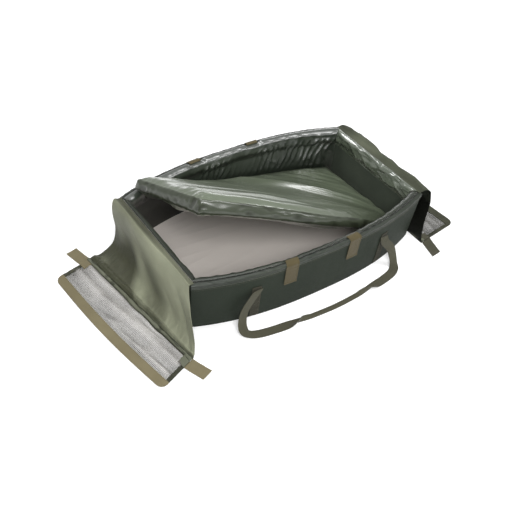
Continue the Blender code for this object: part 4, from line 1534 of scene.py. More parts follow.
@dataclass
class RightFlap:
    """The right flap's fabric, one panel that bulges from the rim and folds back to the wall's foot."""

    bench: Bench
    sizes: FlapSizes = field(default_factory=FlapSizes)
    bulge: float = 0.075
    puff: float = 0.014
    fold_height: float = 0.160
    seam_reach: float = 0.0085
    fold_share: float = 0.45
    fold_blend: float = 0.012
    fold_ys: Spot = (0.276, -0.280)
    seam_ys: Spot = (0.310, -0.345)
    upper_shares: Shares = (
        (0.00, 0.00, 1.000), (0.24, -0.02, 1.020), (0.54, 0.12, 0.880), (0.82, 0.48, 0.520),
        (1.00, 1.00, 0.000),
    )
    lower_shares: Shares = (
        (1.00, 0.0, 1.000), (0.98, 0.04, 0.800), (0.72, 0.1936, 0.560), (0.34, 0.5184, 0.280),
        (0.06, 0.8281, 0.090), (0.00, 1.0, 0.000),
    )

    def _route(self, root_y: float, fold_y: float, seam_y: float) -> tuple[list[Vector], list[Vector]]:
        """Return the places down one edge.

        Args:
            root_y: Where the edge starts.
            fold_y: Where it meets the fold.
            seam_y: Where it ends.

        Returns:
            The places from the hinge to the fold, and those from the fold to the seam.
        """
        sizes = self.sizes
        rim, fold = sizes.rim_edge_x, self.fold_height
        seam = rim + self.seam_reach - sizes.lying - 0.0007
        hinge = Vector((sizes.hinge_x, root_y, sizes.hinge_height))
        above, below = (fold + sizes.lying + 0.0003, sizes.hinge_height), (sizes.lying, fold)
        upper = between(self.upper_shares, (rim, rim + self.bulge), (root_y, fold_y), above)
        return [hinge] + upper, between(self.lower_shares, (seam, rim + self.bulge), (fold_y, seam_y), below)

    def build(self) -> None:
        """Build the fabric as one sheet over its fold."""
        half = self.sizes.root_width / 2
        far, near = (self._route(*ys) for ys in zip((half, -half), self.fold_ys, self.seam_ys))

        def down(routes: tuple[list[Vector], list[Vector]], v: float) -> Vector:
            """Return the place at a share of the whole way from the hinge over the fold to the seam."""
            lower = (v - self.fold_share) / (1 - self.fold_share)
            return on_route(routes[1], lower) if lower > 0 else on_route(routes[0], v / self.fold_share)

        def surface(u: float, v: float) -> Vector:
            """Return a place on the fabric.

            Args:
                u: The share from its far to its near edge.
                v: The share from the hinge to the seam.

            Returns:
                The place.
            """
            place = mix(down(far, v), down(near, v), u)
            upper = math.sin(math.pi * min(v / 0.47, 1.0)) ** 2
            lower_share = max((v - self.fold_share) / (1 - self.fold_share), 0.0)
            lower = math.sin(math.pi * lower_share) ** 2
            fold = self.sizes.fold_depth * max(upper, lower) * math.sin(3 * math.pi * u)
            full = self.puff * upper * math.sin(math.pi * min(max(u, 0.0), 1.0) ** 0.6)
            soft = 0.0060 * wander(u * 3.0, v * 3.0, 5.0) + 0.0030 * wander(u * 8.0, v * 5.0, 2.0)
            soft += 0.0078 * (ridged(u * 4.0 + v * 2.6, v * 1.6, 1.0) - 0.55) * smooth_step(0.05, 0.25, v)
            soft += 0.0042 * (ridged(u * 9.0 + v * 6.0, v * 4.0, 6.0) - 0.45)
            fade = smooth_step(0.0, 0.12, v) * (1 - smooth_step(0.93, 1.0, v))
            place.x += fold + full + soft * fade
            return place

        def shadow(u: float, v: float) -> float:
            """Return how dark the cloth is: random patches, and painted shadow in its creases and most of
            all under its fold.
            """
            patches_and_fold_shadow = max(0.28 + 0.5 * wander(u * 6.0, v * 5.0, 17.0), 0.0) + 0.85 * smooth_step(0.40, 0.52, v)
            return 0.62 * (1 - smooth_step(0.1, 0.5, ridged(u * 4.0 + v * 2.6, v * 1.6, 1.0))) + patches_and_fold_shadow

        cut = Cut(
            "right_flap_cloth", (200, 240), FLAP_DARK, self.sizes.cloth_width, self.sizes.thickness, "hung",
            ("right_rim",), body="", sharp_from=80.0, backing=BACKING,
        )
        piece = self.bench.sheet(
            cut, surface, Vector((1, 0, 0.4)), lambda centre: centre.z > 0.17, shadow
        )
        fold = Vector((self.sizes.rim_edge_x + self.bulge, 0, self.fold_height))
        start, end = fold + UP * self.fold_blend, fold - UP * self.fold_blend
        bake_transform(piece)
        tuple(start)
        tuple(end)
        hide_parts("right_flap_upper", "right_flap_lower")


@dataclass
class NetEnd:
    """The net end of a flap, which lies on the ground between its seam and its free edge."""

    bench: Bench
    side: str
    seam_far: Vector
    seam_near: Vector
    edge_near: Vector
    edge_far: Vector
    bow: float
    sweep: float
    tape: float = 0.018
    edge_webbing: float = 0.040
    net: float = 0.0009
    seam_overlap: float = 0.003
    overlap: float = 0.004
    tab_width: float = 0.052
    tab_length: float = 0.086
    tab_thickness: float = 0.0016
    tab_gap: float = 0.0007
    stitch_lift: float = 0.0009
    tab_offset: float = 0.002
    patch_length: float = 0.034
    net_width: float = 0.130
    pitch: float = 0.0040
    strand: float = 0.00062
    corner: float = 0.030
    loose: float = 1.0
    seed: float = 1.0

    @property
    def length(self) -> float:
        """The seam's length."""
        return (self.seam_near - self.seam_far).length

    @property
    def depth(self) -> float:
        """The way from the seam to the free edge."""
        return (self.edge_near - self.seam_near).length

    @property
    def body(self) -> str:
        """The CAD body that carries it."""
        return f"{self.side}_net_end"

    def place(self, along: float, out: float, height: float) -> Vector:
        """Return a place on the net end.

        Args:
            along: The share along the seam, from its far end.
            out: The share from the seam to the free edge.
            height: The height above the ground.

        Returns:
            The place.
        """
        seam = mix(self.seam_far, self.seam_near, along)
        edge = mix(self.edge_far, self.edge_near, along)
        bowed = 1 + self.bow / self.depth * math.sin(math.pi * min(max(along, 0.0), 1.0))
        return mix(seam, edge, out * bowed) + Vector((0, 0, height))

    def relief(self, along: float, out: float) -> float:
        """Return how high the loose net stands off the ground in its folds.

        Args:
            along: The share along the seam.
            out: The share from the seam to the free edge.

        Returns:
            The height.
        """
        metres, across = along * self.length, out * self.depth
        drift = 5.5 * wander(metres * 2.2, across * 3.0, self.seed) + metres * 4.0
        folds = (0.5 + 0.5 * math.sin(across * 105 + drift)) ** 1.6
        small = ridged(metres * 6.0 + across * 9.0, across * 22.0, self.seed + 4)
        middle = smooth_step(0.06, 0.22, out) * (1 - smooth_step(0.64, 0.76, out))
        ends = smooth_step(0.0, 0.10, min(along, 1 - along))
        return self.loose * (0.0125 * folds + 0.0050 * small) * middle * (0.25 + 0.75 * ends)

    def build(self) -> None:
        """Build the tapes, the net, the edge webbing and the tabs."""
        self._seam_tape()
        self._net()
        self._edge_webbing()
        for name, low, high in (("far", 0.0, self.tape / self.length),
                                ("near", 1 - self.tape / self.length, 1.0)):
            self._side_tape(name, low, high)
        self._tab("far", 0)
        self._tab("near", 1)

    def _seam_tape(self) -> None:
        """Build the puckered tape where the fabric meets the net."""

        def surface(u: float, v: float) -> Vector:
            """Return a place on the tape.

            Args:
                u: The share along the seam.
                v: The share of the tape's width, from the fabric.

            Returns:
                The place.
            """
            metres = u * self.length
            pucker = 0.0034 * ridged(metres * 20.0, v * 1.4, self.seed) + 0.0018 * wander(metres * 9, v, 3.0)
            bulge = (0.0070 + 0.0020 * wander(metres * 5.0, 6.0)) * math.sin(math.pi * v) ** 0.7
            shape = smooth_step(0.0, 0.12, v) * (1 - smooth_step(0.9, 1.0, v))
            wide = v * self.tape * (1 + 0.9 * v * max(wander(metres * 8.0, 3.0, self.seed), 0.0))
            return self.place(u, wide / self.depth, 0.0008 + max(pucker * shape + bulge, 0))

        def creased(u: float, v: float) -> float:
            """Return how dark the band is: painted shade in the puckers' valleys, and dark seam lines near
            both edges.
            """
            pinch = 1 - smooth_step(0.1, 0.5, ridged(u * self.length * 20.0, v * 1.4, self.seed))
            return max(0.7 * pinch, 0.9 * hump(v, 0.16, 0.10), 0.9 * hump(v, 0.95, 0.07))

        cut = Cut(
            f"{self.side}_seam_band", (330, 16), SEAM, self.tape, 0.0012, "laid",
            stands_for=(f"{self.side}_seam_tape",), body=self.body,
        )
        self.bench.sheet(cut, surface, UP, amount=creased)
        rows = [((0.0, share), (1.0, share), 150) for share in (0.10, 0.22, 0.90)]
        coarse = Stitch(length=0.0070, gap=0.0012, width=0.0026)
        name = f"{self.side}_seam_stitching"
        self.bench.sew(name, surface, rows, UP * 0.0006, self.body, DARK_THREAD, coarse)

    def _net(self) -> None:
        """Build the net as real strands round square openings."""
        tape_out = (self.tape - self.seam_overlap) / self.depth
        webbing_from = 1 - (self.edge_webbing - self.overlap) / self.depth
        tape_along = (self.tape - self.overlap) / self.length

        def surface(u: float, v: float) -> Vector:
            """Return a place on the net, u along it and v from the seam tape to the edge webbing."""
            along, out = mix(tape_along, 1 - tape_along, u), mix(tape_out, webbing_from, v)
            return self.place(along, out, 0.0009 + self.relief(along, out))

        across = round(self.length / self.pitch)
        down = round((webbing_from - tape_out) * self.depth / self.pitch)
        bpy.ops.object.select_all(action="DESELECT")
        bpy.ops.mesh.primitive_grid_add(x_subdivisions=across, y_subdivisions=down, size=1)
        piece = bpy.context.object
        piece.name = f"{self.side}_net_mesh"
        bpy.ops.object.mode_set(mode="EDIT")
        work = bmesh.from_edit_mesh(piece.data)
        for vertex in work.verts:
            vertex.co.x *= across * self.pitch
            vertex.co.y *= down * self.pitch
        rings = bmesh.ops.inset_individual(work, faces=work.faces[:], thickness=self.strand,
                                           use_even_offset=True)
        kept = set(rings["faces"])
        bmesh.ops.delete(work, geom=[face for face in work.faces if face not in kept], context="FACES")
        bmesh.update_edit_mesh(piece.data)
        bpy.ops.object.mode_set(mode="OBJECT")
        size = Vector((across * self.pitch, down * self.pitch))
        shares = [(vertex.co.x / size.x + 0.5, vertex.co.y / size.y + 0.5) for vertex in piece.data.vertices]

        def hollow(u: float, v: float) -> float:
            """Return how dark the net is: painted shade between its folds, random streaks and a darkening
            towards its border.

            Args:
                u: The share along the net, from its far end.
                v: The share from the seam tape to the edge webbing.

            Returns:
                The darkness.
            """
            height = surface(u, v).z
            streak = 0.20 * wander(u * 9.0 + v * 2.0, v * 4.0, self.seed)
            border = min(u * 1.4, (1 - u) * 2.2, v * 0.9, (1 - v) * 0.7)
            darker_by_border = 0.55 * (1 - smooth_step(0.0, 0.10, border + 0.06 * wander(u * 7.0, v * 5.0, 3.0)))
            return 0.62 * (1 - smooth_step(0.0015, 0.011, height)) * smooth_step(0.0, 0.2, v) + streak + darker_by_border

        self.bench.shade(piece, shares, hollow)
        for vertex, share in zip(piece.data.vertices, shares):
            vertex.co = surface(*share)
        self.bench.face_along(piece, UP)
        self.bench.thicken(piece, self.net)
        flat = (self.net_width, self.length)
        strands = min(self.bench.area(piece) / 2, flat[0] * flat[1])
        LOG.info("%s: cut %.0f x %.0f mm, strands %.4f m2", piece.name, *(1000 * x for x in flat), strands)
        finish = NET if self.side == "left" else NET_DARK
        self.bench.finish(piece, finish, self.body, [f"{self.side}_net"])

    def _edge_webbing(self) -> None:
        """Build the wide webbing along the free edge."""
        start = 1 - self.edge_webbing / self.depth

        def surface(u: float, v: float) -> Vector:
            """Return a place on the webbing.

            Args:
                u: The share along the seam.
                v: The share of the webbing's width, from the net.

            Returns:
                The place.
            """
            metres = u * self.length
            wave = 0.0014 * (0.5 + 0.5 * wander(metres * 7.0, v * 1.2, self.seed + 9))
            curl = 0.0012 * (2 * v - 1) ** 2 * (0.5 + 0.5 * wander(metres * 4.0, 4.0))
            from_end = min(metres, self.length - metres)
            corner = max(self.corner - from_end, 0.0)
            drop = self.corner - math.sqrt(max(self.corner**2 - corner**2, 0.0))
            return self.place(u, mix(start, 1 - drop / self.depth, v), 0.0016 + wave + curl)

        # The right net's edge webbing takes the darker tape finish as painted shade.
        cut = Cut(
            f"{self.side}_edge_band", (260, 12), WEBBING if self.side == "left" else TAPE,
            self.edge_webbing, 0.0014, "laid", stands_for=(f"{self.side}_edge_webbing",), body=self.body,
        )
        self.bench.sheet(cut, surface, UP)
        rows = [((0.0, share), (1.0, share), 150) for share in (0.10, 0.90)]
        self.bench.sew(f"{self.side}_edge_stitching", surface, rows, UP * 0.0008, self.body)

    def _side_tape(self, name: str, low: float, high: float) -> None:
        """Build the tape along a side edge of the net.

        Args:
            name: The side edge.
            low: The share along the seam where it starts.
            high: The share along the seam where it ends.
        """
        tape_out = self.tape / self.depth
        webbing_from = 1 - self.edge_webbing / self.depth

        def surface(u: float, v: float) -> Vector:
            """Return a place on the tape, u across it and v along it from the seam."""
            ripple = 0.0016 * ridged(v * self.depth * 30.0, u, self.seed + 3)
            return self.place(mix(low, high, u), mix(tape_out, webbing_from, v), 0.0012 + ripple)

        cut = Cut(
            f"{self.side}_{name}_side_tape", (8, 60), TAPE, self.tape, 0.0010, "laid",
            stands_for=(f"{self.side}_{name}_tape",), body=self.body,
        )
        self.bench.sheet(cut, surface, UP)

    def _tab(self, end: str, along: int) -> None:
        """Build a tab's sewn patch on the net and its free length beside it.

        Args:
            end: The side edge that it is sewn to.
            along: That edge's share along the seam, 0 or 1.
        """
        low, high = self.tab_offset / self.depth, (self.tab_offset + self.tab_width) / self.depth
        inner = mix(along, 1 - along, self.patch_length / self.length)
        lift = UP * self.stitch_lift

        def patch(u: float, v: float) -> Vector:
            """Return a place on the patch, u in from the net's side edge and v out from the seam."""
            height = 0.005 + 0.0022 * math.sin(math.pi * v) + 0.0008 * wander(u * 2.0, v * 3.0, self.seed)
            return self.place(mix(along, inner, u), mix(low, high, v), height)

        finish = WEBBING if self.side == "left" else HANDLE
        sewn = SEAM if self.side == "left" and end == "near" else finish
        cut = Cut(
            f"{self.side}_{end}_patch_webbing", (16, 24), sewn, self.tab_width, self.tab_thickness, "laid",
            stands_for=(f"{self.side}_{end}_tab_patch",), body=self.body,
        )
        self.bench.sheet(cut, patch, UP)
        corners = (0.1, 0.08), (0.9, 0.08), (0.9, 0.92), (0.1, 0.92)
        pairs = (0, 1), (1, 2), (2, 3), (3, 0), (0, 2), (1, 3)
        rows = [(corners[start], corners[stop], 8) for start, stop in pairs]
        self.bench.sew(f"{self.side}_{end}_patch_stitching", patch, rows, lift, self.body)
        first, last = self.place(along, low, 0), self.place(along, high, 0)
        edge = (last - first).normalized()
        outward = edge.cross(UP)
        if outward.dot(first - self.place(1 - along, low, 0)) < 0:
            outward = -outward
        tip = outward * self.tab_length + edge * self.sweep
        start = outward * self.tab_gap

        def free(u: float, v: float) -> Vector:
            """Return a place on the free length.

            Args:
                u: The share of its width, from the seam.
                v: The share of its length, from the net.

            Returns:
                The place.
            """
            height = mix(0.0036, 0.0010, smooth_step(0.0, 0.35, v))
            wave = 0.0018 * math.sin(math.pi * v) * (0.5 + 0.5 * wander(u * 1.5, v * 3.0, self.seed + along))
            curl = 0.0015 * smooth_step(0.75, 1.0, v) * (2 * u - 1) ** 2
            return mix(first, last, u) + start + tip * v + UP * (height + wave + curl)

        body = f"{self.side}_{end}_tab"
        cut = Cut(
            f"{self.side}_{end}_tab_webbing", (20, 40), finish, self.tab_width, self.tab_thickness, "laid",
            stands_for=(f"{self.side}_{end}_tab",), body=body,
        )
        self.bench.sheet(cut, free, UP)
        rows = [((0.0, share), (1.0, share), 14) for share in (0.10, 0.90)]
        self.bench.sew(f"{self.side}_{end}_tab_stitching", free, rows, lift, body)


# Loose pad


@dataclass
class LoosePad:
    """The foam mat in its glossy cover, tipped and twisted as it leans in the tub."""

    bench: Bench
    thickness: float = 0.048
    floor_top: float = 0.0138
    seat_share: float = 0.857
    right_end: float = 0.506
    left_end: float = 0.482
    far_half: float = 0.306
    near_half: float = 0.264
    near_rise: float = 0.377
    far_rise: float = 0.236
    sag: float = 0.014
    near_shares: Shares = (
        (0.990, 0.890, 0.000), (0.720, 0.960, 0.215), (0.430, 1.000, 0.430), (0.110, 0.965, 0.625),
        (-0.220, 0.830, 0.795), (-0.540, 0.620, 0.920), (-0.860, 0.325, 0.990),
    )
    far_shares: Shares = (
        (0.970, 0.790, 0.000), (0.660, 0.930, 0.035), (0.340, 0.995, 0.105), (0.020, 1.000, 0.225),
        (-0.300, 0.985, 0.405), (-0.650, 0.930, 0.680), (-0.985, 0.935, 1.000),
    )
    steps: tuple[int, int, int] = (210, 130, 8)
    slack_along: float = 1.012
    slack_across: float = 1.045
    pressure: float = 3.0
    frames: int = 22
    cap: float = 0.0085

    @property
    def length(self) -> float:
        """The cover's length."""
        return self.right_end + self.left_end

    @property
    def width(self) -> float:
        """The cover's width."""
        return self.near_half + self.far_half

    def _edge(self, shares: Shares, half: float, rise: float, side: int) -> list[Vector]:
        """Return the places along one long edge of the middle surface, right to left.

        Args:
            shares: How far along, out and up each place is.
            half: The half width on that side.
            rise: How high that edge leans.
            side: The side's sign across the tub.

        Returns:
            The places.
        """
        lowest = self.floor_top + 0.0003 + self.seat_share * self.thickness / 2
        places = []
        for end_share, half_share, rise_share in shares:
            end = self.right_end if end_share > 0 else self.left_end
            places.append(Vector((end * end_share, side * half * half_share, lowest + rise * rise_share)))
        return places

    def _middle(self, u: float, v: float) -> Vector:
        """Return a place on the middle surface.

        Args:
            u: The share of the length, from the right end.
            v: The share of the width, from the near edge.

        Returns:
            The place.
        """
        near = self._edge(self.near_shares, self.near_half, self.near_rise, -1)
        far = self._edge(self.far_shares, self.far_half, self.far_rise, 1)
        return mix(on_route(near, u), on_route(far, u), v)

    def _upward(self, u: float, v: float) -> tuple[Vector, Vector, Vector]:
        """Return the directions along, across and out of the middle surface.

        Args:
            u: The share of the length, from the right end.
            v: The share of the width, from the near edge.

        Returns:
            The three directions.
        """
        run = self._middle(min(u + 0.05, 1), v) - self._middle(max(u - 0.05, 0), v)
        rise = self._middle(u, 1) - self._middle(u, 0)
        return run.normalized(), rise.normalized(), rise.cross(run).normalized()

    def build(self) -> None:
        """Build the cover over its core, with its boxed edge, folds and puckers."""
        piece = self._closed_grid()
        shares = [vertex.co + Vector((0.5, 0.5, 0.5)) for vertex in piece.data.vertices]
        frames = [self._upward(share.x, share.y) for share in shares]
        places = [self._place(share, frame) for share, frame in zip(shares, frames)]
        for vertex, place in zip(piece.data.vertices, places):
            vertex.co = place
        self.bench.point_outwards(piece)
        self._blow_up(piece, shares, places)
        for vertex, share, frame in zip(piece.data.vertices, shares, frames):
            way = frame[2] if share.z > 0.5 else -frame[2]
            vertex.co += way * self._folds(share)
        self.bench.shade(piece, shares, self._dark)
        self.bench.finish(piece, PAD, "pad", ["pad_cover"], angle=85)

    def _border(self, share: Vector) -> float:
        """Return how far a place is from the cover's outline."""
        reach, across = share.x * self.length, share.y * self.width
        return min(reach, self.length - reach, across, self.width - across)

    def _place(self, share: Vector, frame: tuple[Vector, Vector, Vector]) -> Vector:
        """Return the place of a point of the smooth cover.

        Args:
            share: Its shares of the length, the width and the thickness.
            frame: The directions along, across and out of the middle surface there.

        Returns:
            The place.
        """
        u, v, w = share
        run, rise, upward = frame
        reach, across = u * self.length, v * self.width
        border = self._border(share)
        side_share = 0.88 + 0.12 * smooth_step(0.0, 0.030, border)
        crown = 1 + 0.10 * math.sin(math.pi * u) * math.sin(math.pi * v)
        sag = self.sag * (1 - w) * u**4 * (1 - v)
        spot = self._middle(u, v) + upward * (self.thickness * (w - 0.5) * crown * side_share - sag)
        if border < 0.0005:
            outward = Vector((0, 0, 0))
            if min(reach, self.length - reach) < 0.0005:
                outward += run * (1 if reach > self.length / 2 else -1)
            if min(across, self.width - across) < 0.0005:
                outward += rise * (1 if across > self.width / 2 else -1)
            dent = 0.0046 * ridged((reach + across) * 17.0, w * 1.5, 4.0)
            spot += outward.normalized() * (0.0034 + dent) * math.sin(math.pi * w) ** 0.6
        return spot

    def _blow_up(self, piece: Piece, shares: Sequence[Vector], places: Sequence[Vector]) -> None:
        """Wrinkle the cover with a cloth simulation: the cut cloth is wider than the core needs.

        Args:
            piece: The smooth cover.
            shares: Each point's u, v and w.
            places: Each point's place before it.
        """
        mesh = piece.data
        self.bench.alone(piece)
        bpy.ops.object.shape_key_add(from_mix=False)
        bpy.ops.object.shape_key_add(from_mix=False)
        cut = mesh.shape_keys.key_blocks[-1]
        for point, share in zip(cut.data, shares):
            slack = self.slack_across + 0.02 * (1 - share.x)
            point.co = Vector((share.x * self.length * self.slack_along, share.y * self.width * slack,
                               share.z * self.thickness * 0.9))
        held = piece.vertex_groups.new(name="held")
        for index, share in enumerate(shares):
            edge = 1 - smooth_step(0.0, 0.02, self._border(share))
            held.add([index], 0.04 + 0.30 * edge, "REPLACE")
        cloth = piece.modifiers.new("cover", "CLOTH")
        settings = cloth.settings
        settings.rest_shape_key = cut
        settings.vertex_group_mass = held.name
        settings.pin_stiffness = 1.0
        settings.use_pressure = True
        settings.uniform_pressure_force = self.pressure
        settings.effector_weights.gravity = 0.0
        settings.quality = 5
        settings.mass = 0.2
        settings.tension_stiffness = 30.0
        settings.compression_stiffness = 30.0
        settings.shear_stiffness = 12.0
        settings.bending_stiffness = 0.6
        settings.air_damping = 3.0
        cloth.collision_settings.use_collision = False
        cloth.point_cache.frame_start = 1
        cloth.point_cache.frame_end = self.frames
        scene = bpy.context.scene
        for frame in range(1, self.frames + 1):
            scene.frame_set(frame)
        solved = piece.evaluated_get(bpy.context.evaluated_depsgraph_get())
        moves = [vertex.co - place for vertex, place in zip(solved.data.vertices, places)]
        piece.modifiers.remove(cloth)
        bpy.ops.object.shape_key_remove(all=True)
        piece.vertex_groups.clear()
        scene.frame_set(1)
        furthest = max(move.length for move in moves)
        LOG.info("pad cover: furthest simulated move %.1f mm", 1000 * furthest)
        for vertex, place, move in zip(mesh.vertices, places, moves):
            vertex.co = place + move * (self.cap / (self.cap + move.length))

    def _fan(self, share: Vector, seed: float) -> tuple[float, float]:
        """Return the folds that fan from the near right end.

        Args:
            share: The shares of the length, the width and the thickness.
            seed: The face's own pattern.

        Returns:
            The broad and the fine folds, each from 0 to 1.
        """
        reach, across = share.x * self.length, share.y * self.width
        corner_x, corner_y = reach + 0.22, across + 0.13
        far_out = math.hypot(corner_x, corner_y)
        angle = math.atan2(corner_y, corner_x)
        bend = 0.35 * wander(reach * 1.6, across * 2.0, seed + 20)
        fine = ridged(angle * 9.0 + bend, far_out * 1.7, seed + 2)
        return ridged(angle * 3.6 + bend, far_out * 0.8, seed), fine

    def _folds(self, share: Vector) -> float:
        """Return how far the cover's folds stand: long ones, and puckers at the edge.

        Args:
            share: The shares of the length, the width and the thickness.

        Returns:
            The distance.
        """
        reach, across = share.x * self.length, share.y * self.width
        border = self._border(share)
        inside = smooth_step(0.0, 0.05, border)
        seed = 3.0 if share.z > 0.5 else 17.0
        broad_fan, fine_fan = self._fan(share, seed)
        fan = broad_fan**1.5 * 0.0140 + fine_fan**2 * 0.0034
        broad = 0.0040 * (0.5 + 0.5 * wander(reach * 2.2, across * 4.5, seed + 5))
        small = 0.0008 * wander(reach * 10.0, across * 14.0, seed + 8)
        pucker = 0.0013 * math.exp(-border / 0.018) * math.cos(
            2 * math.pi * (reach + across) / 0.036 + 4 * wander(reach * 6, across * 6, seed)
        )
        left_end = smooth_step(0.80, 1.0, reach / 0.99) * (1 - smooth_step(0.15, 0.75, across / 0.57))
        crumple = 0.0048 * (ridged(reach * 12.0, across * 12.0, seed + 11) - 0.3) * left_end
        crumple += 0.0018 * (ridged(reach * 26.0, across * 26.0, seed + 13) - 0.3) * left_end
        standing = (fan + broad + small) * inside + (pucker + crumple) * smooth_step(0.0, 0.006, border)
        return max(standing, -0.0010)

    def _dark(self, u: float, v: float, w: float) -> float:
        """Return how dark the cover is: dark seams, and painted shade on its boxed sides, in its puckers,
        between its folds and over its right part, most of all by its near edge.

        Args:
            u: The share of the length, from the right end.
            v: The share of the width, from the near edge.
            w: The share of the thickness, from below.

        Returns:
            The darkness.
        """
        border = self._border(Vector((u, v, w)))
        side = 1 - smooth_step(0.0, 0.004, border)
        seam = max(hump(w, 0.0, 0.10), 0.5 * hump(w, 0.90, 0.05)) * side
        pucker = 1 - smooth_step(0.1, 0.5, ridged((u * self.length + v * self.width) * 17.0, w * 1.5, 4.0))
        valley = 0.22 * (1 - smooth_step(0.18, 0.60, self._fan(Vector((u, v, w)), 3.0)[0])) * (w > 0.5)
        deep = 0.14 * (1 - smooth_step(0.15, 0.62, u + 0.12 * wander(u * 3.0, v * 3.0, 2.0)))
        deep += 0.34 * (1 - smooth_step(0.05, 0.40, v)) * (1 - smooth_step(0.20, 0.60, u))
        deep *= w > 0.5
        return max(0.72 * side + 0.20 * pucker * side, 0.9 * seam, valley + deep)

    def _closed_grid(self) -> Piece:
        """Make a cube cut into even steps along each axis, from -0.5 to 0.5.

        Returns:
            The closed piece.
        """
        bpy.ops.object.select_all(action="DESELECT")
        bpy.ops.mesh.primitive_cube_add(size=1, location=(0, 0, 0))
        piece = bpy.context.object
        piece.name = "pad_cover_cloth"
        piece.data.name = "pad_cover_cloth"
        bpy.ops.object.mode_set(mode="EDIT")
        for axis, count in enumerate(self.steps):
            bpy.ops.mesh.select_all(action="DESELECT")
            bpy.ops.mesh.select_mode(type="EDGE")
            work = bmesh.from_edit_mesh(piece.data)
            for edge in work.edges:
                run = edge.verts[1].co - edge.verts[0].co
                edge.select_set(abs(run[axis]) > 0.5)
            bmesh.update_edit_mesh(piece.data)
            bpy.ops.mesh.subdivide(number_cuts=count - 1)
        bpy.ops.object.mode_set(mode="OBJECT")
        return piece


# Studio


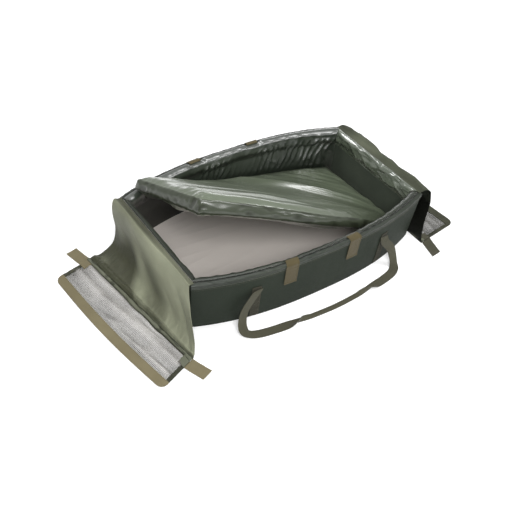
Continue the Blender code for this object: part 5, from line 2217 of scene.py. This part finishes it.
@dataclass
class Studio:
    """The pale floor, the soft lights and the camera at the photograph's angle."""

    lens: float = 55.4
    camera_place: tuple[float, float, float] = (-1.62869, -1.95416, 2.20969)
    camera_axes: tuple[Color, Color, Color] = (
        (0.82296, -0.56178, 0.08449),
        (0.32944, 0.59309, 0.73467),
        (-0.46282, -0.57677, 0.67317),
    )
    floor_color: Color = (0.90, 0.90, 0.90)
    floor_lift: float = 0.20
    lamps: tuple[tuple[str, Color, Spot, float], ...] = (
        ("overhead", (0.5, -0.3, 2.9), (0.9, 2.0), 38.0),
        ("front", (-1.35, -2.3, 2.8), (1.4, 1.4), 105.0),
        ("right", (1.9, -2.1, 1.8), (1.3, 0.35), 18.0),
        ("top", (-0.5, 1.7, 2.6), (1.2, 0.60), 32.0),
        ("back", (2.2, 2.4, 1.2), (1.5, 0.40), 14.0),
    )
    lift_range: Spot = (1.5, 4.5)
    surround: float = 0.30
    shine: float = 0.36

    def build(self) -> None:
        """Build the stage."""
        self._camera()
        self._floor()
        self._world()
        self._lights()
        bpy.context.scene.view_settings.view_transform = "Standard"

    def _camera(self) -> None:
        """Place the camera."""
        data = bpy.data.cameras.new("camera")
        data.lens = self.lens
        data.sensor_width = 36.0
        camera = bpy.data.objects.new("camera", data)
        turn = Matrix(self.camera_axes).transposed().to_4x4()
        camera.matrix_world = Matrix.Translation(self.camera_place) @ turn
        bpy.context.scene.collection.objects.link(camera)
        bpy.context.scene.camera = camera

    def _floor(self) -> None:
        """Lay the floor, which shows white to the camera and keeps the shadow."""
        bpy.ops.object.select_all(action="DESELECT")
        bpy.ops.mesh.primitive_plane_add(size=24, location=(0, 0, -0.0006))
        floor = bpy.context.object
        floor.name = "studio_floor"
        material = bpy.data.materials.new("studio_floor")
        material.use_nodes = True
        shader = material.node_tree.nodes["Principled BSDF"]
        wiring = Wiring(material.node_tree)
        rays = wiring.add("LightPath").outputs
        seen = wiring.math("MAXIMUM", rays["Is Camera Ray"], rays["Is Glossy Ray"])
        place = wiring.add("TexCoord").outputs["Object"]
        away = wiring.add("VectorMath", {0: place}, operation="LENGTH").outputs["Value"]
        white = wiring.ranged(away, self.floor_lift, 1.0, *self.lift_range)
        wiring.feed(shader, {
            "Base Color": (*self.floor_color, 1.0),
            "Roughness": 0.9,
            "Specular IOR Level": 0.1,
            "Emission Color": (1, 1, 1, 1),
            "Emission Strength": wiring.math("MULTIPLY", seen, white),
        })
        floor.data.materials.append(material)

    def _world(self) -> None:
        """Light the surroundings, white to the camera."""
        world = bpy.data.worlds.new("studio")
        bpy.context.scene.world = world
        world.use_nodes = True
        world.node_tree.nodes.clear()
        wiring = Wiring(world.node_tree)
        soft, white = (
            wiring.add("Background", {"Color": (1, 1, 1, 1), "Strength": strength}).outputs[0]
            for strength in (self.surround, 1.0)
        )
        rays = wiring.add("LightPath").outputs
        shiny = wiring.math("MULTIPLY", rays["Is Glossy Ray"], self.shine)
        seen = wiring.math("MAXIMUM", rays["Is Camera Ray"], shiny)
        blend = wiring.add("MixShader", {0: seen, 1: soft, 2: white})
        wiring.add("OutputWorld", {0: blend.outputs[0]})

    def _lights(self) -> None:
        """Hang the soft lights."""
        for name, place, (size, size_y), power in self.lamps:
            data = bpy.data.lights.new(name, "AREA")
            data.shape = "RECTANGLE"
            data.size = size
            data.size_y = size_y
            data.energy = power
            lamp = bpy.data.objects.new(name, data)
            back = Vector(place) - Vector((0, 0, 0.1))
            lamp.matrix_world = Matrix.Translation(place) @ back.to_track_quat("Z", "Y").to_matrix().to_4x4()
            bpy.context.scene.collection.objects.link(lamp)


def dress_foam(bench: Bench) -> None:
    """Give the foam cores, which stay as they are, their material.

    Args:
        bench: The bench with the finishes.
    """
    for name in ("base_core", "near_wall_core", "far_wall_core", "left_wall_core", "right_wall_core",
                 "pad_core"):
        node = bpy.data.objects[name]
        node.data.materials.clear()
        node.data.materials.append(bench.materials[FOAM.name])


def main() -> None:
    """Build the looks of the mat around its frame."""
    logging.basicConfig(level=logging.INFO, format="%(message)s")
    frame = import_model()
    Studio().build()
    bench = Bench(Shaders())
    dress_foam(bench)
    tub = Tub(bench)
    tub.build()
    WallWebbing(bench, tub).build()
    LeftFlap(bench).build()
    RightFlap(bench).build()
    NetEnd(
        bench, "left", seam_far=Vector((-0.7101, 0.252, 0)), seam_near=Vector((-0.6211, -0.405, 0)),
        edge_near=Vector((-0.786, -0.472, 0)), edge_far=Vector((-0.879, 0.212, 0)), bow=0.016, sweep=0.0,
    ).build()
    NetEnd(
        bench, "right", seam_far=Vector((0.5736, 0.310, 0)), seam_near=Vector((0.5736, -0.345, 0)),
        edge_near=Vector((0.800, -0.314, 0)), edge_far=Vector((0.736, 0.318, 0)), bow=0.004, sweep=-0.034,
        loose=0.5, seed=7.0,
    ).build()
    LoosePad(bench).build()
    LOG.info("%d nodes in the frame", len(frame["nodes"]))


if __name__ == "__main__":
    main()
